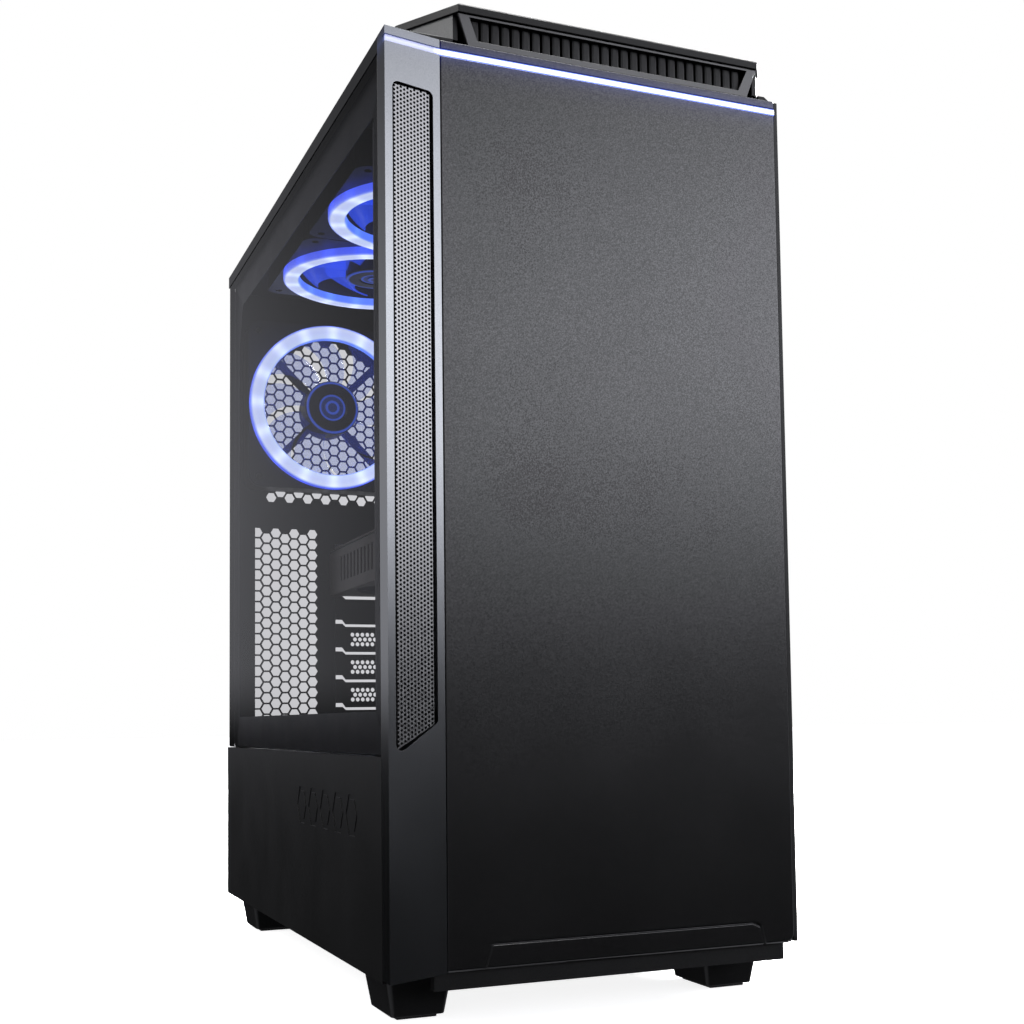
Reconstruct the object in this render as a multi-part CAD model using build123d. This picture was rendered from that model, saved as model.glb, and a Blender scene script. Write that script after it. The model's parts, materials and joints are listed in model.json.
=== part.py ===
from build123d import *
import os
from math import cos, pi, radians, sin, sqrt

# Desktop computer tower. Millimetres. +X right, +Y to the rear, +Z up.
# The origin is the centre of the footprint, on the surface that the feet stand on.

# Overall size
HALF = 107.5                     # half the width over the side panels
FRONT = -206.0                   # foremost edge of the bezel
REAR = 200.6                     # outer face of the rear panel
SCREW_TIP = 206.0                # tips of the rear thumbscrews
FOOT = 22.0                      # height of the feet, up to the case's underside
BODY_TOP = FOOT + 440.0          # top of the front panel
DECK_TOP = FOOT + 444.0          # top of the roof deck
LID_TOP = FOOT + 461.0           # top of the raised lid

# Sheet metal
STEEL = 1.0                      # sheet thickness
PAN_HALF = 102.2                 # half the width of the chassis sheets
PAN_FRONT = FRONT + 32.0         # front end of the chassis sheets
PAN_REAR = REAR - STEEL          # inner face of the rear panel
ROOF = FOOT + 429.0              # underside of the roof panel
SHROUD = FOOT + 100.0            # underside of the power supply cover
RAIL = 8.0                       # height of the edge rails
RAIL_X = 101.2                   # inner face of the edge rails

# Side panels
PANEL_TOP = FOOT + 431.8
PANEL_REAR = REAR + 0.2
SPLIT = FOOT + 101.9             # joint between the glass and the lower panel
GLASS = 3.8                      # glass thickness
GLASS_FRONT = FRONT + 12.6
GLASS_REAR = 196.5
BORDER = 0.3                     # printed border on the inside of the glass
FLANGE = 15.0                    # width of the panels' rear flanges
FOLD = 4.0                       # depth of the panels' folded edges
BAND = FRONT + 29.7              # rear edge of the bezel's right side

# Front bezel
STRIP_X = -78.7                  # joint between the side strip and the front panel
FACE = FRONT + 4.9               # face of the front panel
FACE_X = 105.5                   # right edge of the front panel
SKIN = 4.0                       # thickness of the front panel
FACE_FOOT = FOOT + 3.5           # bottom edge of the front panel
GROOVE = (FOOT + 432.5, FOOT + 436.0)
GROOVE_DEEP = 3.0
BEZEL_WALL = 2.5
RETURN_X = PAN_HALF - 1.0        # how far the walls reach towards the left side

# Fans
FAN = 119.4                      # side of a case fan
FAN_FRAME = 20.0                 # depth of its frame, without the light ring
FAN_RING = 5.0                   # depth of its light ring
FAN_RING_IN = 49.5
FAN_RING_OUT = 59.5
FAN_BORE = 56.5
FAN_HOLE = 52.5                  # half the spacing of the fan screws
SCREW_HOLE = 2.2
SHAFT = 1.5
SHAFT_BORE = 1.56
REAR_FAN = (-37.4, FOOT + 345.4)
ROOF_FAN_X = -36.2
ROOF_FAN_Y = (FRONT + 150.2, FRONT + 270.6)

# Honeycomb vents
HEX_COLUMN = 6.67                # spacing of the columns
HEX_ROW = 7.7                    # spacing of the holes in a column
HEX_HOLE = 6.5                   # size of a hole across its flats
HEX_CUT = 0.7                    # where the clipped holes end, below their middle

# Expansion slots
SLOT_PITCH = 20.32
SLOT_COUNT = 7
SLOT_LOW = FOOT + 107.6
SLOT_LEFT = -30.6                # left end of the slot covers
SLOT_RIGHT = 70.0
CARD_SLOTS = 2                   # the top slots, which hold the graphics card

# Motherboard and its tray
TRAY = 79.5                      # face of the tray
BOARD = 71.4                     # component face of the motherboard
BOARD_SHEET = 1.6
BOARD_FRONT = FRONT + 160.0
BOARD_REAR = PAN_REAR - 1.6
BOARD_LOW = FOOT + 107.0
BOARD_TOP = FOOT + 412.0
IO_PORTS = (27.5, 72.0, FOOT + 259.0, FOOT + 417.8)

# Graphics card
CARD_EDGE = -35.0
CARD_LOW = SLOT_LOW + (SLOT_COUNT - CARD_SLOTS) * SLOT_PITCH + 1.0
CARD_BOARD = SLOT_LOW + 6.6 * SLOT_PITCH
CARD_FRONT = FRONT + 180.0
CARD_REAR = PAN_REAR - 3.0

# Power supply
SUPPLY = (-70.0, 80.0, PAN_REAR - 140.0, PAN_REAR, FOOT + 6.5, FOOT + 92.5)
SUPPLY_FAN = 58.0
INLET = (44.0, FOOT + 36.0)      # centre of the mains inlet
ROCKER = (44.0, FOOT + 68.0)     # centre of the rocker switch

# Drive cage
CAGE = (-58.0, 92.0, FRONT + 46.0, FRONT + 162.0, FOOT + 1.0, FOOT + 74.0)
DRIVE = (147.0, 101.6, 26.1)

os.makedirs("parts", exist_ok=True)


# ---------------------------------------------------------------- helpers

def block(x0, x1, y0, y1, z0, z1):
    """A box between two corners."""
    return Pos((x0 + x1) / 2, (y0 + y1) / 2, (z0 + z1) / 2) * Box(x1 - x0, y1 - y0, z1 - z0)


def outline(points):
    """A closed outline through points (u, v)."""
    return Wire.make_polygon([(u, v, 0) for u, v in points], close=True)


def rectangle(u0, u1, v0, v1, radius=0.0):
    """A rectangular outline, with round corners if a radius is given."""
    if radius == 0.0:
        return outline([(u0, v0), (u1, v0), (u1, v1), (u0, v1)])
    wire = RectangleRounded(u1 - u0, v1 - v0, radius).face().outer_wire()
    return Pos((u0 + u1) / 2, (v0 + v1) / 2, 0) * wire


def circle(u, v, radius):
    """A round outline."""
    return Pos(u, v, 0) * Wire.make_circle(radius)


def hexagon(u, v, across=HEX_HOLE):
    """A hexagonal outline with its flats at the top and the bottom."""
    radius = across / sqrt(3)
    corners = [radians(60 * step) for step in range(6)]
    return outline([(u + radius * cos(a), v + radius * sin(a)) for a in corners])


def clipped_hexagon(u, v):
    """The lower part of a hexagonal hole, cut straight across just below its middle."""
    radius = HEX_HOLE / sqrt(3)
    cut = radius * (1.0 - HEX_CUT / HEX_HOLE)
    corners = [(-radius / 2, -HEX_HOLE / 2), (radius / 2, -HEX_HOLE / 2), (cut, -HEX_CUT), (-cut, -HEX_CUT)]
    return outline([(u + a, v + b) for a, b in corners])


def fan_screws(u, v):
    """Places of the four screws of a case fan whose middle is (u, v)."""
    return [(u + a, v + b) for a in (-FAN_HOLE, FAN_HOLE) for b in (-FAN_HOLE, FAN_HOLE)]


def honeycomb(u0, v0, columns, rows, keep=None):
    """Staggered hexagons, from the first column's lowest hole. keep(u, v) says which stay."""
    centres = []
    for column in range(columns):
        for row in range(rows):
            u = u0 + column * HEX_COLUMN
            v = v0 + row * HEX_ROW + (column % 2) * HEX_ROW / 2
            centres.append((u, v))
    return [hexagon(u, v) for u, v in centres if keep is None or keep(u, v)]


def sheet(plane, thickness, outer, holes=()):
    """A flat sheet on a plane, thickened along the plane's normal."""
    face = Face(outer, list(holes))
    return plane.location * Solid.extrude(face, Vector(0, 0, thickness))


def facing_front(y, x=0.0, z=0.0):
    """A plane whose u is X and v is Z, thickening towards -Y."""
    return Plane(origin=(x, y, z), x_dir=(1, 0, 0), z_dir=(0, -1, 0))


def facing_right(x, y=0.0, z=0.0):
    """A plane whose u is Y and v is Z, thickening towards +X."""
    return Plane(origin=(x, y, z), x_dir=(0, 1, 0), z_dir=(1, 0, 0))


def facing_up(z, x=0.0, y=0.0):
    """A plane whose u is X and v is Y, thickening towards +Z."""
    return Plane(origin=(x, y, z), x_dir=(1, 0, 0), z_dir=(0, 0, 1))


def facing_down(z, x=0.0, y=0.0):
    """A plane at z whose normal points down."""
    return Plane(origin=(x, y, z), x_dir=(1, 0, 0), z_dir=(0, 0, -1))


def joined(shapes):
    """Fuse shapes into one."""
    shapes = list(shapes)
    return shapes[0].fuse(*shapes[1:]) if len(shapes) > 1 else shapes[0]


def rod(plane, radius, length):
    """A round bar that starts on a plane and runs along its normal."""
    return plane.location * Pos(0, 0, length / 2) * Cylinder(radius, length)


def steps(first, pitch, count):
    """Evenly spaced values."""
    return [first + pitch * index for index in range(count)]


def write(name, *shapes):
    """Write one node. Each separate solid in it stays separate."""
    solids = [solid for shape in shapes for solid in shape.solids()]
    export_step(Compound(solids), f"parts/{name}.step")


# ---------------------------------------------------------------- chassis

def bottom_pan():
    slot = (20.0, 4.0)
    holes = []
    for x in steps(-56.0, 24.0, 5):
        for y in steps(72.0, 8.0, 15):
            holes.append(rectangle(x, x + slot[0], y, y + slot[1], 1.9))
    outer = rectangle(-PAN_HALF, PAN_HALF, PAN_FRONT, PAN_REAR)
    return sheet(facing_up(FOOT), STEEL, outer, holes)


def rear_panel():
    fan_x, fan_z = REAR_FAN

    def in_fan(u, v):
        return sqrt((u - fan_x) ** 2 + (v - fan_z) ** 2) < 53.0

    def in_field(u, v):
        return v < FOOT + 257.0

    field = honeycomb(-87.1, FOOT + 109.2, 7, 20, in_field)
    row_low = FOOT + 281.3
    row = honeycomb(-77.1, row_low, 15, 1)
    row += [clipped_hexagon(u, row_low + HEX_ROW) for u in steps(-77.1, 2 * HEX_COLUMN, 8)]
    grille = honeycomb(fan_x - 8 * HEX_COLUMN, fan_z - 8 * HEX_ROW, 17, 17, in_fan)
    screws = [circle(*place, SCREW_HOLE) for place in fan_screws(fan_x, fan_z)]
    slots = rectangle(SLOT_LEFT + 0.4, 67.0, SLOT_LOW + 1.0, SLOT_LOW + SLOT_COUNT * SLOT_PITCH - 1.0)
    ports = rectangle(*IO_PORTS)
    supply = rectangle(SUPPLY[0] + 1.5, SUPPLY[1] - 1.5, SUPPLY[4] + 1.5, SUPPLY[5] - 1.5)
    outer = rectangle(-PAN_HALF, PAN_HALF, FOOT, ROOF)
    return sheet(facing_front(REAR), STEEL, outer, field + row + grille + screws + [slots, ports, supply])


def roof_panel():
    slot = (4.0, 30.0)
    holes = []
    for fan_y in ROOF_FAN_Y:
        for x in steps(ROOF_FAN_X - 53.5, 8.6, 13):
            for y in steps(fan_y - 52.0, 37.0, 3):
                holes.append(rectangle(x, x + slot[0], y, y + slot[1], 1.9))
    outer = rectangle(-PAN_HALF, PAN_HALF, PAN_FRONT, REAR)
    return sheet(facing_up(ROOF), STEEL, outer, holes)


FRONT_OPENINGS = [(0.0, FOOT + 190.0), (0.0, FOOT + 320.0)]
FRONT_OPENING_R = 56.0


def front_frame():
    holes = [circle(x, z, FRONT_OPENING_R) for x, z in FRONT_OPENINGS]
    for x, z in FRONT_OPENINGS:
        holes += [circle(*place, SCREW_HOLE) for place in fan_screws(x, z)]
    holes += [rectangle(-60.0, 60.0, z, z + 6.0, 2.9) for z in steps(FOOT + 20.0, 14.0, 6)]
    outer = rectangle(-PAN_HALF, PAN_HALF, FOOT, ROOF)
    return sheet(facing_front(PAN_FRONT), STEEL, outer, holes)


def edge_rails():
    bars = []
    for x0, x1 in ((RAIL_X, PAN_HALF), (-PAN_HALF, -RAIL_X)):
        for z in (FOOT + STEEL, ROOF - RAIL):
            bars.append(block(x0, x1, PAN_FRONT, PAN_REAR, z, z + RAIL))
        for y in (PAN_FRONT, PAN_REAR - RAIL):
            bars.append(block(x0, x1, y, y + RAIL, FOOT + STEEL + RAIL, ROOF - RAIL))
    return bars


TRAY_LOW = SHROUD + STEEL
PROCESSOR = (FRONT + 318.0, FOOT + 335.0)
CABLE_HOLES = [(FRONT + 128.0, z) for z in (FOOT + 165.0, FOOT + 280.0)]
CABLE_HOLE = (22.0, 60.0)


def motherboard_tray():
    y, z = PROCESSOR
    window = rectangle(y - 60.0, y + 55.0, z - 55.0, z + 60.0, 6.0)
    width, height = CABLE_HOLE
    passes = [rectangle(a, a + width, b, b + height, 8.0) for a, b in CABLE_HOLES]
    outer = rectangle(PAN_FRONT, PAN_REAR, TRAY_LOW, ROOF)
    return sheet(facing_right(TRAY), STEEL, outer, passes + [window])


def grommets():
    width, height = CABLE_HOLE
    lips = []
    for y, z in CABLE_HOLES:
        outer = rectangle(y - 2.0, y + width + 2.0, z - 2.0, z + height + 2.0, 9.9)
        hole = rectangle(y + 2.5, y + width - 2.5, z + 2.5, z + height - 2.5, 6.0)
        lips.append(sheet(facing_right(TRAY - 2.0), 2.0, outer, [hole]))
    return lips


def power_supply_cover():
    holes = []
    for x in steps(-92.0, 21.0, 4):
        for y in steps(10.0, 9.0, 19):
            holes.append(rectangle(x, x + 15.0, y, y + 4.0, 1.9))
    outer = rectangle(-RAIL_X, TRAY + STEEL, PAN_FRONT, PAN_REAR)
    return sheet(facing_up(SHROUD), STEEL, outer, holes)


def drive_cage():
    x0, x1, y0, y1, z0, z1 = CAGE
    shelf = FOOT + 40.0
    left = block(x0, x1, y0, y0 + STEEL, z0, z1)
    right = block(x0, x1, y1 - STEEL, y1, z0, z1)
    top = block(x0, x1, y0, y1, z1 - STEEL, z1)
    ledges = [block(x0, x1, a, a + 5.0, shelf, shelf + STEEL) for a in (y0 + STEEL, y1 - STEEL - 5.0)]
    return joined([left, right, top] + ledges)


# ---------------------------------------------------------------- roof deck and lid

LID_PLAN = [(-69.0, FRONT + 6.0), (96.0, FRONT + 6.0), (101.0, FRONT + 13.5),
            (101.0, 179.0), (-91.0, 179.0), (-91.0, FRONT + 39.0)]
LID_PLATE = 4.5
SKIRT = 2.0
LID_LOW = FOOT + 441.0
PLATE_LOW = LID_TOP - LID_PLATE
VENT_TOP = (-69.0, 96.0)
VENT_LOW = (-64.0, 90.0)
VENT_BAR = 3.0


def lid_outline(inset):
    """The lid's plan, moved inwards."""
    wire = outline(LID_PLAN)
    return wire.offset_2d(-inset, kind=Kind.INTERSECTION) if inset else wire


def roof_deck():
    low = FOOT + 432.2
    over = FRONT + 9.2
    body = block(-HALF, HALF, over, REAR, low, DECK_TOP)
    long_top = [edge for edge in body.edges().filter_by(Axis.Y) if edge.center().Z > DECK_TOP - 0.1]
    body = chamfer(long_top, length=4.0, length2=5.8)
    inside = block(-HALF + 2.5, HALF - 2.5, FRONT + 12.6, REAR - 2.5, low - 1.0, DECK_TOP - 2.5)
    under = block(-HALF - 1.0, HALF + 1.0, over - 1.0, FRONT + 12.6, low - 1.0, BODY_TOP + 0.4)
    band = block(HALF - 10.0, HALF + 1.0, FRONT, BAND, low - 1.0, BODY_TOP + 0.4)
    opening = sheet(facing_up(low), DECK_TOP, lid_outline(2.5 + SKIRT))
    mouth = block(-71.0, 98.0, over - 1.0, FRONT + 22.0, low - 1.0, DECK_TOP + 1.0)
    return body - inside - under - band - opening - mouth


def lid_plate():
    plate = sheet(facing_up(PLATE_LOW), LID_PLATE, lid_outline(0.0))
    return chamfer(plate.faces().sort_by(Axis.Z)[-1].edges(), 1.0)


def lid_skirt():
    low = DECK_TOP + 0.2
    inset = 1.2
    wall = sheet(facing_up(low), PLATE_LOW - low, lid_outline(inset), [lid_outline(inset + SKIRT)])
    front = block(-HALF, HALF, FRONT, FRONT + 10.5, DECK_TOP - 5.0, LID_TOP)
    slot = (DECK_TOP + 3.0, PLATE_LOW - 2.5)
    windows = [block(-95.0, 105.0, y, y + 6.0, *slot) for y in steps(-150.0, 10.0, 32)]
    rear = [block(x, x + 6.0, 170.0, 185.0, *slot) for x in steps(-84.0, 10.0, 18)]
    return wall - front - Compound(windows) - Compound(rear)


def lid_vent_frame():
    (a0, a1), (b0, b1) = VENT_TOP, VENT_LOW
    outer = outline([(a0, PLATE_LOW), (a1, PLATE_LOW), (b1, LID_LOW), (b0, LID_LOW)])
    high, low = PLATE_LOW - VENT_BAR * 0.5, LID_LOW + VENT_BAR
    hole = outline([(a0 + 6.0, high), (a1 - 6.0, high), (b1 - 5.0, low), (b0 + 5.0, low)])
    return sheet(facing_front(FRONT + 9.2), 2.0, outer, [hole])


def lid_ribs():
    back = block(-63.0, 89.0, FRONT + 15.0, FRONT + 16.5, LID_LOW + 1.0, PLATE_LOW)
    rib = (FRONT + 9.4, FRONT + 15.0, LID_LOW + 1.5, PLATE_LOW)
    ribs = [block(x, x + 2.2, *rib) for x in steps(-61.0, 5.35, 28)]
    return joined([back] + ribs)


def roof_filter():
    return block(-86.0, 96.0, FRONT + 42.0, 172.0, DECK_TOP + 2.0, DECK_TOP + 3.4)


# ---------------------------------------------------------------- front bezel

BAR_TOP = [(-107.1, FRONT + 0.4), (STRIP_X, FACE + 0.3), (FACE_X - 0.3, FACE + 0.3)]
MESH_CORNERS = [(3.7, 101.8), (25.0, 117.1), (25.0, 413.6), (3.9, 414.7)]


def strip_plane():
    """The plane of the side strip's face, thickening towards the rear. u runs from its left edge."""
    along = Vector(STRIP_X + HALF, FACE - FRONT, 0).normalized()
    rearwards = along.cross(Vector(0, 0, 1)) * -1
    return Plane(origin=(-HALF, FRONT, FOOT), x_dir=along, z_dir=rearwards)


def on_strip(points):
    """Strip points (u, height above the case's underside), turned into the plane's own (u, v)."""
    plane = strip_plane()
    flip = 1.0 if plane.y_dir.Z > 0 else -1.0
    return [(u, flip * v) for u, v in points]


def strip_width():
    """The length of the side strip's face."""
    return sqrt((STRIP_X + HALF) ** 2 + (FACE - FRONT) ** 2)


def rounded(points, radius):
    """A closed outline with every corner rounded."""
    face = Face(outline(points))
    return fillet(Sketch(face.wrapped).vertices(), radius).face().outer_wire()


def bezel_side_strip():
    wide = strip_width() - 0.5
    outer = outline(on_strip([(0.0, 1.4), (wide, 3.5), (wide, 440.0), (0.0, 440.0)]))
    hole = rounded(on_strip(MESH_CORNERS), 3.0)
    strip = sheet(strip_plane(), SKIN, outer, [hole])
    within = block(-HALF, 0.0, FRONT - 1.0, 0.0, 0.0, LID_TOP)
    rear = GLASS_FRONT - 0.2
    wall = block(-HALF, -HALF + 2.0, FRONT + SKIN, rear, FACE_FOOT - 2.0, BODY_TOP)
    returns = [block(-HALF, -RETURN_X, FRONT + SKIN, rear, low, high) for low, high in bezel_edges()]
    return (joined([strip, wall] + returns) & within) - bar_space()


def bezel_edges():
    """Lowest and highest points of the bezel's upper and lower walls."""
    return [(BODY_TOP - 2.5, BODY_TOP - 0.5), (FACE_FOOT, FACE_FOOT + BEZEL_WALL)]


def intake_mesh():
    points = [(3.9, 102.2), (24.8, 117.3), (24.8, 413.4), (4.1, 414.4)]
    plate = sheet(strip_plane(), 1.2, rounded(on_strip(points), 2.8))
    away = strip_plane().z_dir * 1.0
    return Pos(away.X, away.Y, away.Z) * plate


def bar_space():
    """The space that the light bar lies in."""
    low, high = GROOVE
    (x0, y0), (x1, y1), (x2, y2) = BAR_TOP
    front = [(x0 - 3.0, y0 - 2.0), (x1, y1 - 2.0), (x2 + 3.0, y2 - 2.0)]
    back = [(x2 + 3.0, y2 + GROOVE_DEEP), (x1, y1 + GROOVE_DEEP), (x0 - 3.0, y0 + GROOVE_DEEP - 0.6)]
    return sheet(facing_up(low), high - low, outline(front + back))


def led_light_bar():
    low, high = GROOVE
    (x0, y0), (x1, y1), (x2, y2) = BAR_TOP
    deep = GROOVE_DEEP - 0.4
    back = [(x2, y2 + deep), (x1, y1 + deep), (x0, y0 + deep - 0.6)]
    return sheet(facing_up(low + 0.15), high - low - 0.3, outline(BAR_TOP + back))


GRIP = [(-62.0, 0.0), (-58.0, 12.0), (82.0, 12.0), (86.0, 10.0), (88.5, 0.0)]
GRIP_GROOVE = 1.0


def front_panel():
    outer = outline([(STRIP_X, FACE_FOOT), (FACE_X, FACE_FOOT), (FACE_X, BODY_TOP), (STRIP_X, BODY_TOP)])
    plate = sheet(facing_front(FACE + SKIN), SKIN, outer)
    corner = plate.edges().filter_by(Axis.Y).sort_by(lambda edge: edge.center().Z - edge.center().X)[0]
    plate = fillet(corner, 5.0)
    right = [edge for edge in plate.edges().filter_by(Axis.Z) if edge.center().X > FACE_X - 0.1]
    plate = chamfer([edge for edge in right if edge.center().Y < FACE + 0.1], 1.2)
    path = [(x, FACE_FOOT + z) for x, z in GRIP]
    inner = [(x + (GRIP_GROOVE if x < 0 else -GRIP_GROOVE), z - GRIP_GROOVE) for x, z in path]
    ring = sheet(facing_front(FACE + 0.8), 2.0, outline(path + inner[::-1]))
    return plate - bar_space() - ring


IO_Y = FRONT + 18.5              # middle of the controls on the bezel's right side
POWER_Z = FOOT + 408.0
RESET_Z = FOOT + 388.0
USB_Z = (FOOT + 362.0, FOOT + 335.0)
AUDIO_Z = (FOOT + 312.0, FOOT + 298.0)
USB_HALF = (3.2, 7.1)
JACK = 1.8


def bezel_frame():
    holes = [circle(IO_Y, POWER_Z, 7.35), circle(IO_Y, RESET_Z, 3.35)]
    half_y, half_z = USB_HALF
    holes += [rectangle(IO_Y - half_y, IO_Y + half_y, z - half_z, z + half_z, 0.6) for z in USB_Z]
    holes += [circle(IO_Y, z, 3.3) for z in AUDIO_Z]
    side = rectangle(FACE + 1.3, BAND, FACE_FOOT + 0.5, BODY_TOP)
    right = sheet(facing_right(HALF - 2.0), 2.0, side, holes)
    depth = (FACE + SKIN, FRONT + 28.0)
    walls = [block(-RETURN_X, HALF - 2.0, *depth, low, high) for low, high in bezel_edges()]
    lip = block(-84.0, 101.0, FRONT + 9.5, FRONT + 15.0, FOOT - 5.0, FACE_FOOT)
    return joined([right, lip] + walls)


def bezel_clips():
    """Posts on the back of the front panel that snap into the front frame."""
    posts = []
    for x in (-72.0, 78.0):
        for z in (FOOT + 30.0, FOOT + 120.0, FOOT + 255.0, FOOT + 405.0):
            posts.append(block(x - 4.0, x + 4.0, FACE + SKIN, PAN_FRONT - STEEL - 0.2, z - 5.0, z + 5.0))
    return posts


def front_filter():
    """The frame of the intake filter, with two windows."""
    windows = [rectangle(-60.0, 60.0, FOOT + z, FOOT + z + 140.0, 3.0) for z in (112.0, 256.0)]
    outer = rectangle(-64.0, 64.0, FOOT + 108.0, FOOT + 400.0, 4.0)
    return sheet(facing_front(FRONT + 30.4), 2.0, outer, windows)


def power_button():
    plane = facing_right(HALF - 4.4, IO_Y, POWER_Z)
    cap = rod(plane, 7.0, 4.4)
    flange = rod(facing_right(HALF - 4.4, IO_Y, POWER_Z), 8.6, 2.0)
    return joined([cap, flange])


def reset_button():
    cap = rod(facing_right(HALF - 4.4, IO_Y, RESET_Z), 3.0, 4.4)
    flange = rod(facing_right(HALF - 4.4, IO_Y, RESET_Z), 4.4, 2.0)
    return joined([cap, flange])


IO_BOARD = HALF - 20.0


def front_io_board():
    outer = rectangle(IO_Y - 8.5, IO_Y + 8.5, FOOT + 286.0, FOOT + 420.0, 2.0)
    board = sheet(facing_right(IO_BOARD - BOARD_SHEET), BOARD_SHEET, outer)
    half = 3.0
    width = (IO_Y - half, IO_Y + half)
    switches = [block(IO_BOARD, HALF - 6.6, *width, z - half, z + half) for z in (POWER_Z, RESET_Z)]
    return [board] + switches


def usb_sockets():
    """Two metal shells, open to the right, each with a tongue along one side."""
    half_y, half_z = USB_HALF[0] - 0.2, USB_HALF[1] - 0.2
    wall = 0.5
    sockets = []
    deep = IO_BOARD + 3.0
    for z in USB_Z:
        low, high = z - half_z, z + half_z
        shell = block(IO_BOARD, HALF, IO_Y - half_y, IO_Y + half_y, low, high)
        bore = block(deep, HALF + 1.0, IO_Y - half_y + wall, IO_Y + half_y - wall, low + wall, high - wall)
        tongue = block(deep, HALF - 2.0, IO_Y - half_y + 0.9, IO_Y - 0.3, low + 1.5, high - 1.5)
        sockets += [shell - bore, tongue]
    return sockets


def audio_jacks():
    jacks = []
    for z in AUDIO_Z:
        barrel = rod(facing_right(IO_BOARD, IO_Y, z), 3.1, HALF - IO_BOARD)
        bore = rod(facing_right(IO_BOARD + 4.0, IO_Y, z), JACK, HALF - IO_BOARD)
        jacks.append(barrel - bore)
    return jacks


# ---------------------------------------------------------------- side panels

CLEAR_GLASS = [(32.3, 122.8), (384.0, 122.8), (385.5, 382.0), (372.0, 411.0), (32.3, 410.0)]


def glass_panel():
    outer = rectangle(GLASS_FRONT, GLASS_REAR, SPLIT + 0.3, PANEL_TOP, 1.5)
    glass = sheet(facing_right(-HALF), GLASS, outer)
    return chamfer(glass.faces().sort_by(Axis.X)[0].edges(), 0.6)


def glass_border():
    outer = rectangle(GLASS_FRONT + 0.5, GLASS_REAR - 0.5, SPLIT + 0.8, PANEL_TOP - 0.5, 1.5)
    hole = rounded([(FRONT + y, FOOT + z) for y, z in CLEAR_GLASS], 2.5)
    return sheet(facing_right(-HALF + GLASS), BORDER, outer, [hole])


def rear_flange(side, low, high):
    """A strip that covers the rear panel's edge, on the side given by -1 or 1."""
    x = side * (HALF - FOLD)
    inner = x - side * FLANGE
    return block(min(x, inner), max(x, inner), PANEL_REAR, PANEL_REAR + STEEL, low, high)


def glass_bracket():
    x = -HALF + FOLD + 0.1
    web = block(x, x + STEEL, GLASS_REAR - 12.0, PANEL_REAR + STEEL, SPLIT + 2.0, PANEL_TOP - 2.0)
    return joined([web, rear_flange(-1, SPLIT + 2.0, PANEL_TOP - 2.0)])


def folded_panel(side, front, low, high):
    """A steel panel with all four edges folded inwards, and its rear flange."""
    skin = HALF - STEEL
    inner = HALF - FOLD
    across = sorted((side * HALF, side * inner))
    outer = block(*across, front, PANEL_REAR + STEEL, low, high)
    across = sorted((side * skin, side * (inner - 1.0)))
    hollow = block(*across, front + STEEL, PANEL_REAR, low + STEEL, high - STEEL)
    return joined([outer - hollow, rear_flange(side, low, high)])


EMBLEM_Z = FOOT + 72.6
EMBLEM_Y = FRONT + 119.5
EMBLEM_PITCH = 27.0
EMBLEM_ACROSS = 20.0
EMBLEM_LINE = 2.4


def lower_side_panel():
    panel = folded_panel(-1, GLASS_FRONT, FOOT, SPLIT - 0.2)
    stamps = []
    for y in steps(EMBLEM_Y - 2 * EMBLEM_PITCH, EMBLEM_PITCH, 5):
        ring = [hexagon(y, EMBLEM_Z, EMBLEM_ACROSS - 2 * EMBLEM_LINE)]
        stamps.append(sheet(facing_right(-HALF - 0.1), 0.5, hexagon(y, EMBLEM_Z, EMBLEM_ACROSS), ring))
    return panel - Compound(stamps)


def right_side_panel():
    return folded_panel(1, BAND + 0.3, FOOT, PANEL_TOP)


SCREW_X = HALF - FOLD - 9.0


def thumbscrews(side, heights):
    """Captive screws on a panel's rear flange, with fluted heads."""
    start = PANEL_REAR + STEEL
    screws = []
    for z in heights:
        plane = Plane(origin=(side * SCREW_X, start, z), x_dir=(1, 0, 0), z_dir=(0, 1, 0))
        head = rod(plane, 4.6, SCREW_TIP - start)
        flute = Pos(4.9, 0, 2.9) * Cylinder(0.7, 3.0)
        flutes = [Rot(0, 0, angle) * flute for angle in range(0, 360, 30)]
        screws.append(head - plane.location * Compound(flutes))
    return screws


# ---------------------------------------------------------------- feet

def foot_places():
    """The corners nearest the origin of the four feet's soles: (x0, x1, y0, y1)."""
    return [(x, x + 26.0, y, y + 37.0) for x in (-96.7, 70.7) for y in (FRONT + 35.0, FRONT + 357.0)]


PAD = 1.6
PAD_INSET = 3.0


def feet():
    solids = []
    for x0, x1, y0, y1 in foot_places():
        sole = Pos((x0 + x1) / 2, (y0 + y1) / 2, PAD) * RectangleRounded(x1 - x0, y1 - y0, 2.0)
        top = Pos((x0 + x1) / 2, (y0 + y1) / 2, FOOT) * RectangleRounded(x1 - x0 + 7.0, y1 - y0 + 7.0, 3.0)
        solids.append(loft([sole, top]))
    return solids


def foot_pads():
    pads = []
    for x0, x1, y0, y1 in foot_places():
        pads.append(block(x0 + PAD_INSET, x1 - PAD_INSET, y0 + PAD_INSET, y1 - PAD_INSET, 0.0, PAD))
    return pads


# ---------------------------------------------------------------- fans

BLADE_SHARE = 0.78               # share of the tip circle that the blades take up


def rotor(hub, tip, depth, blades, pitch, cap=0.0):
    """A hub with tilted blades about Z, from z = 0. cap is how far the hub stands past the blades."""
    body = Pos(0, 0, (depth + cap) / 2) * Cylinder(hub, depth + cap)
    keep = Pos(0, 0, depth / 2) * Cylinder(tip, depth)
    chord = 2 * pi * tip / blades * BLADE_SHARE
    slab = Pos((hub + tip) / 2, 0, depth / 2) * Rot(pitch, 0, 0) * Box(tip - hub + 6.0, chord, 1.6)
    blade = slab & keep
    wheel = joined([body] + [Rot(0, 0, 360 / blades * index) * blade for index in range(blades)])
    bore = Pos(0, 0, (depth + cap) / 2 - 2.0) * Cylinder(SHAFT_BORE, depth + cap)
    return wheel - bore


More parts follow.
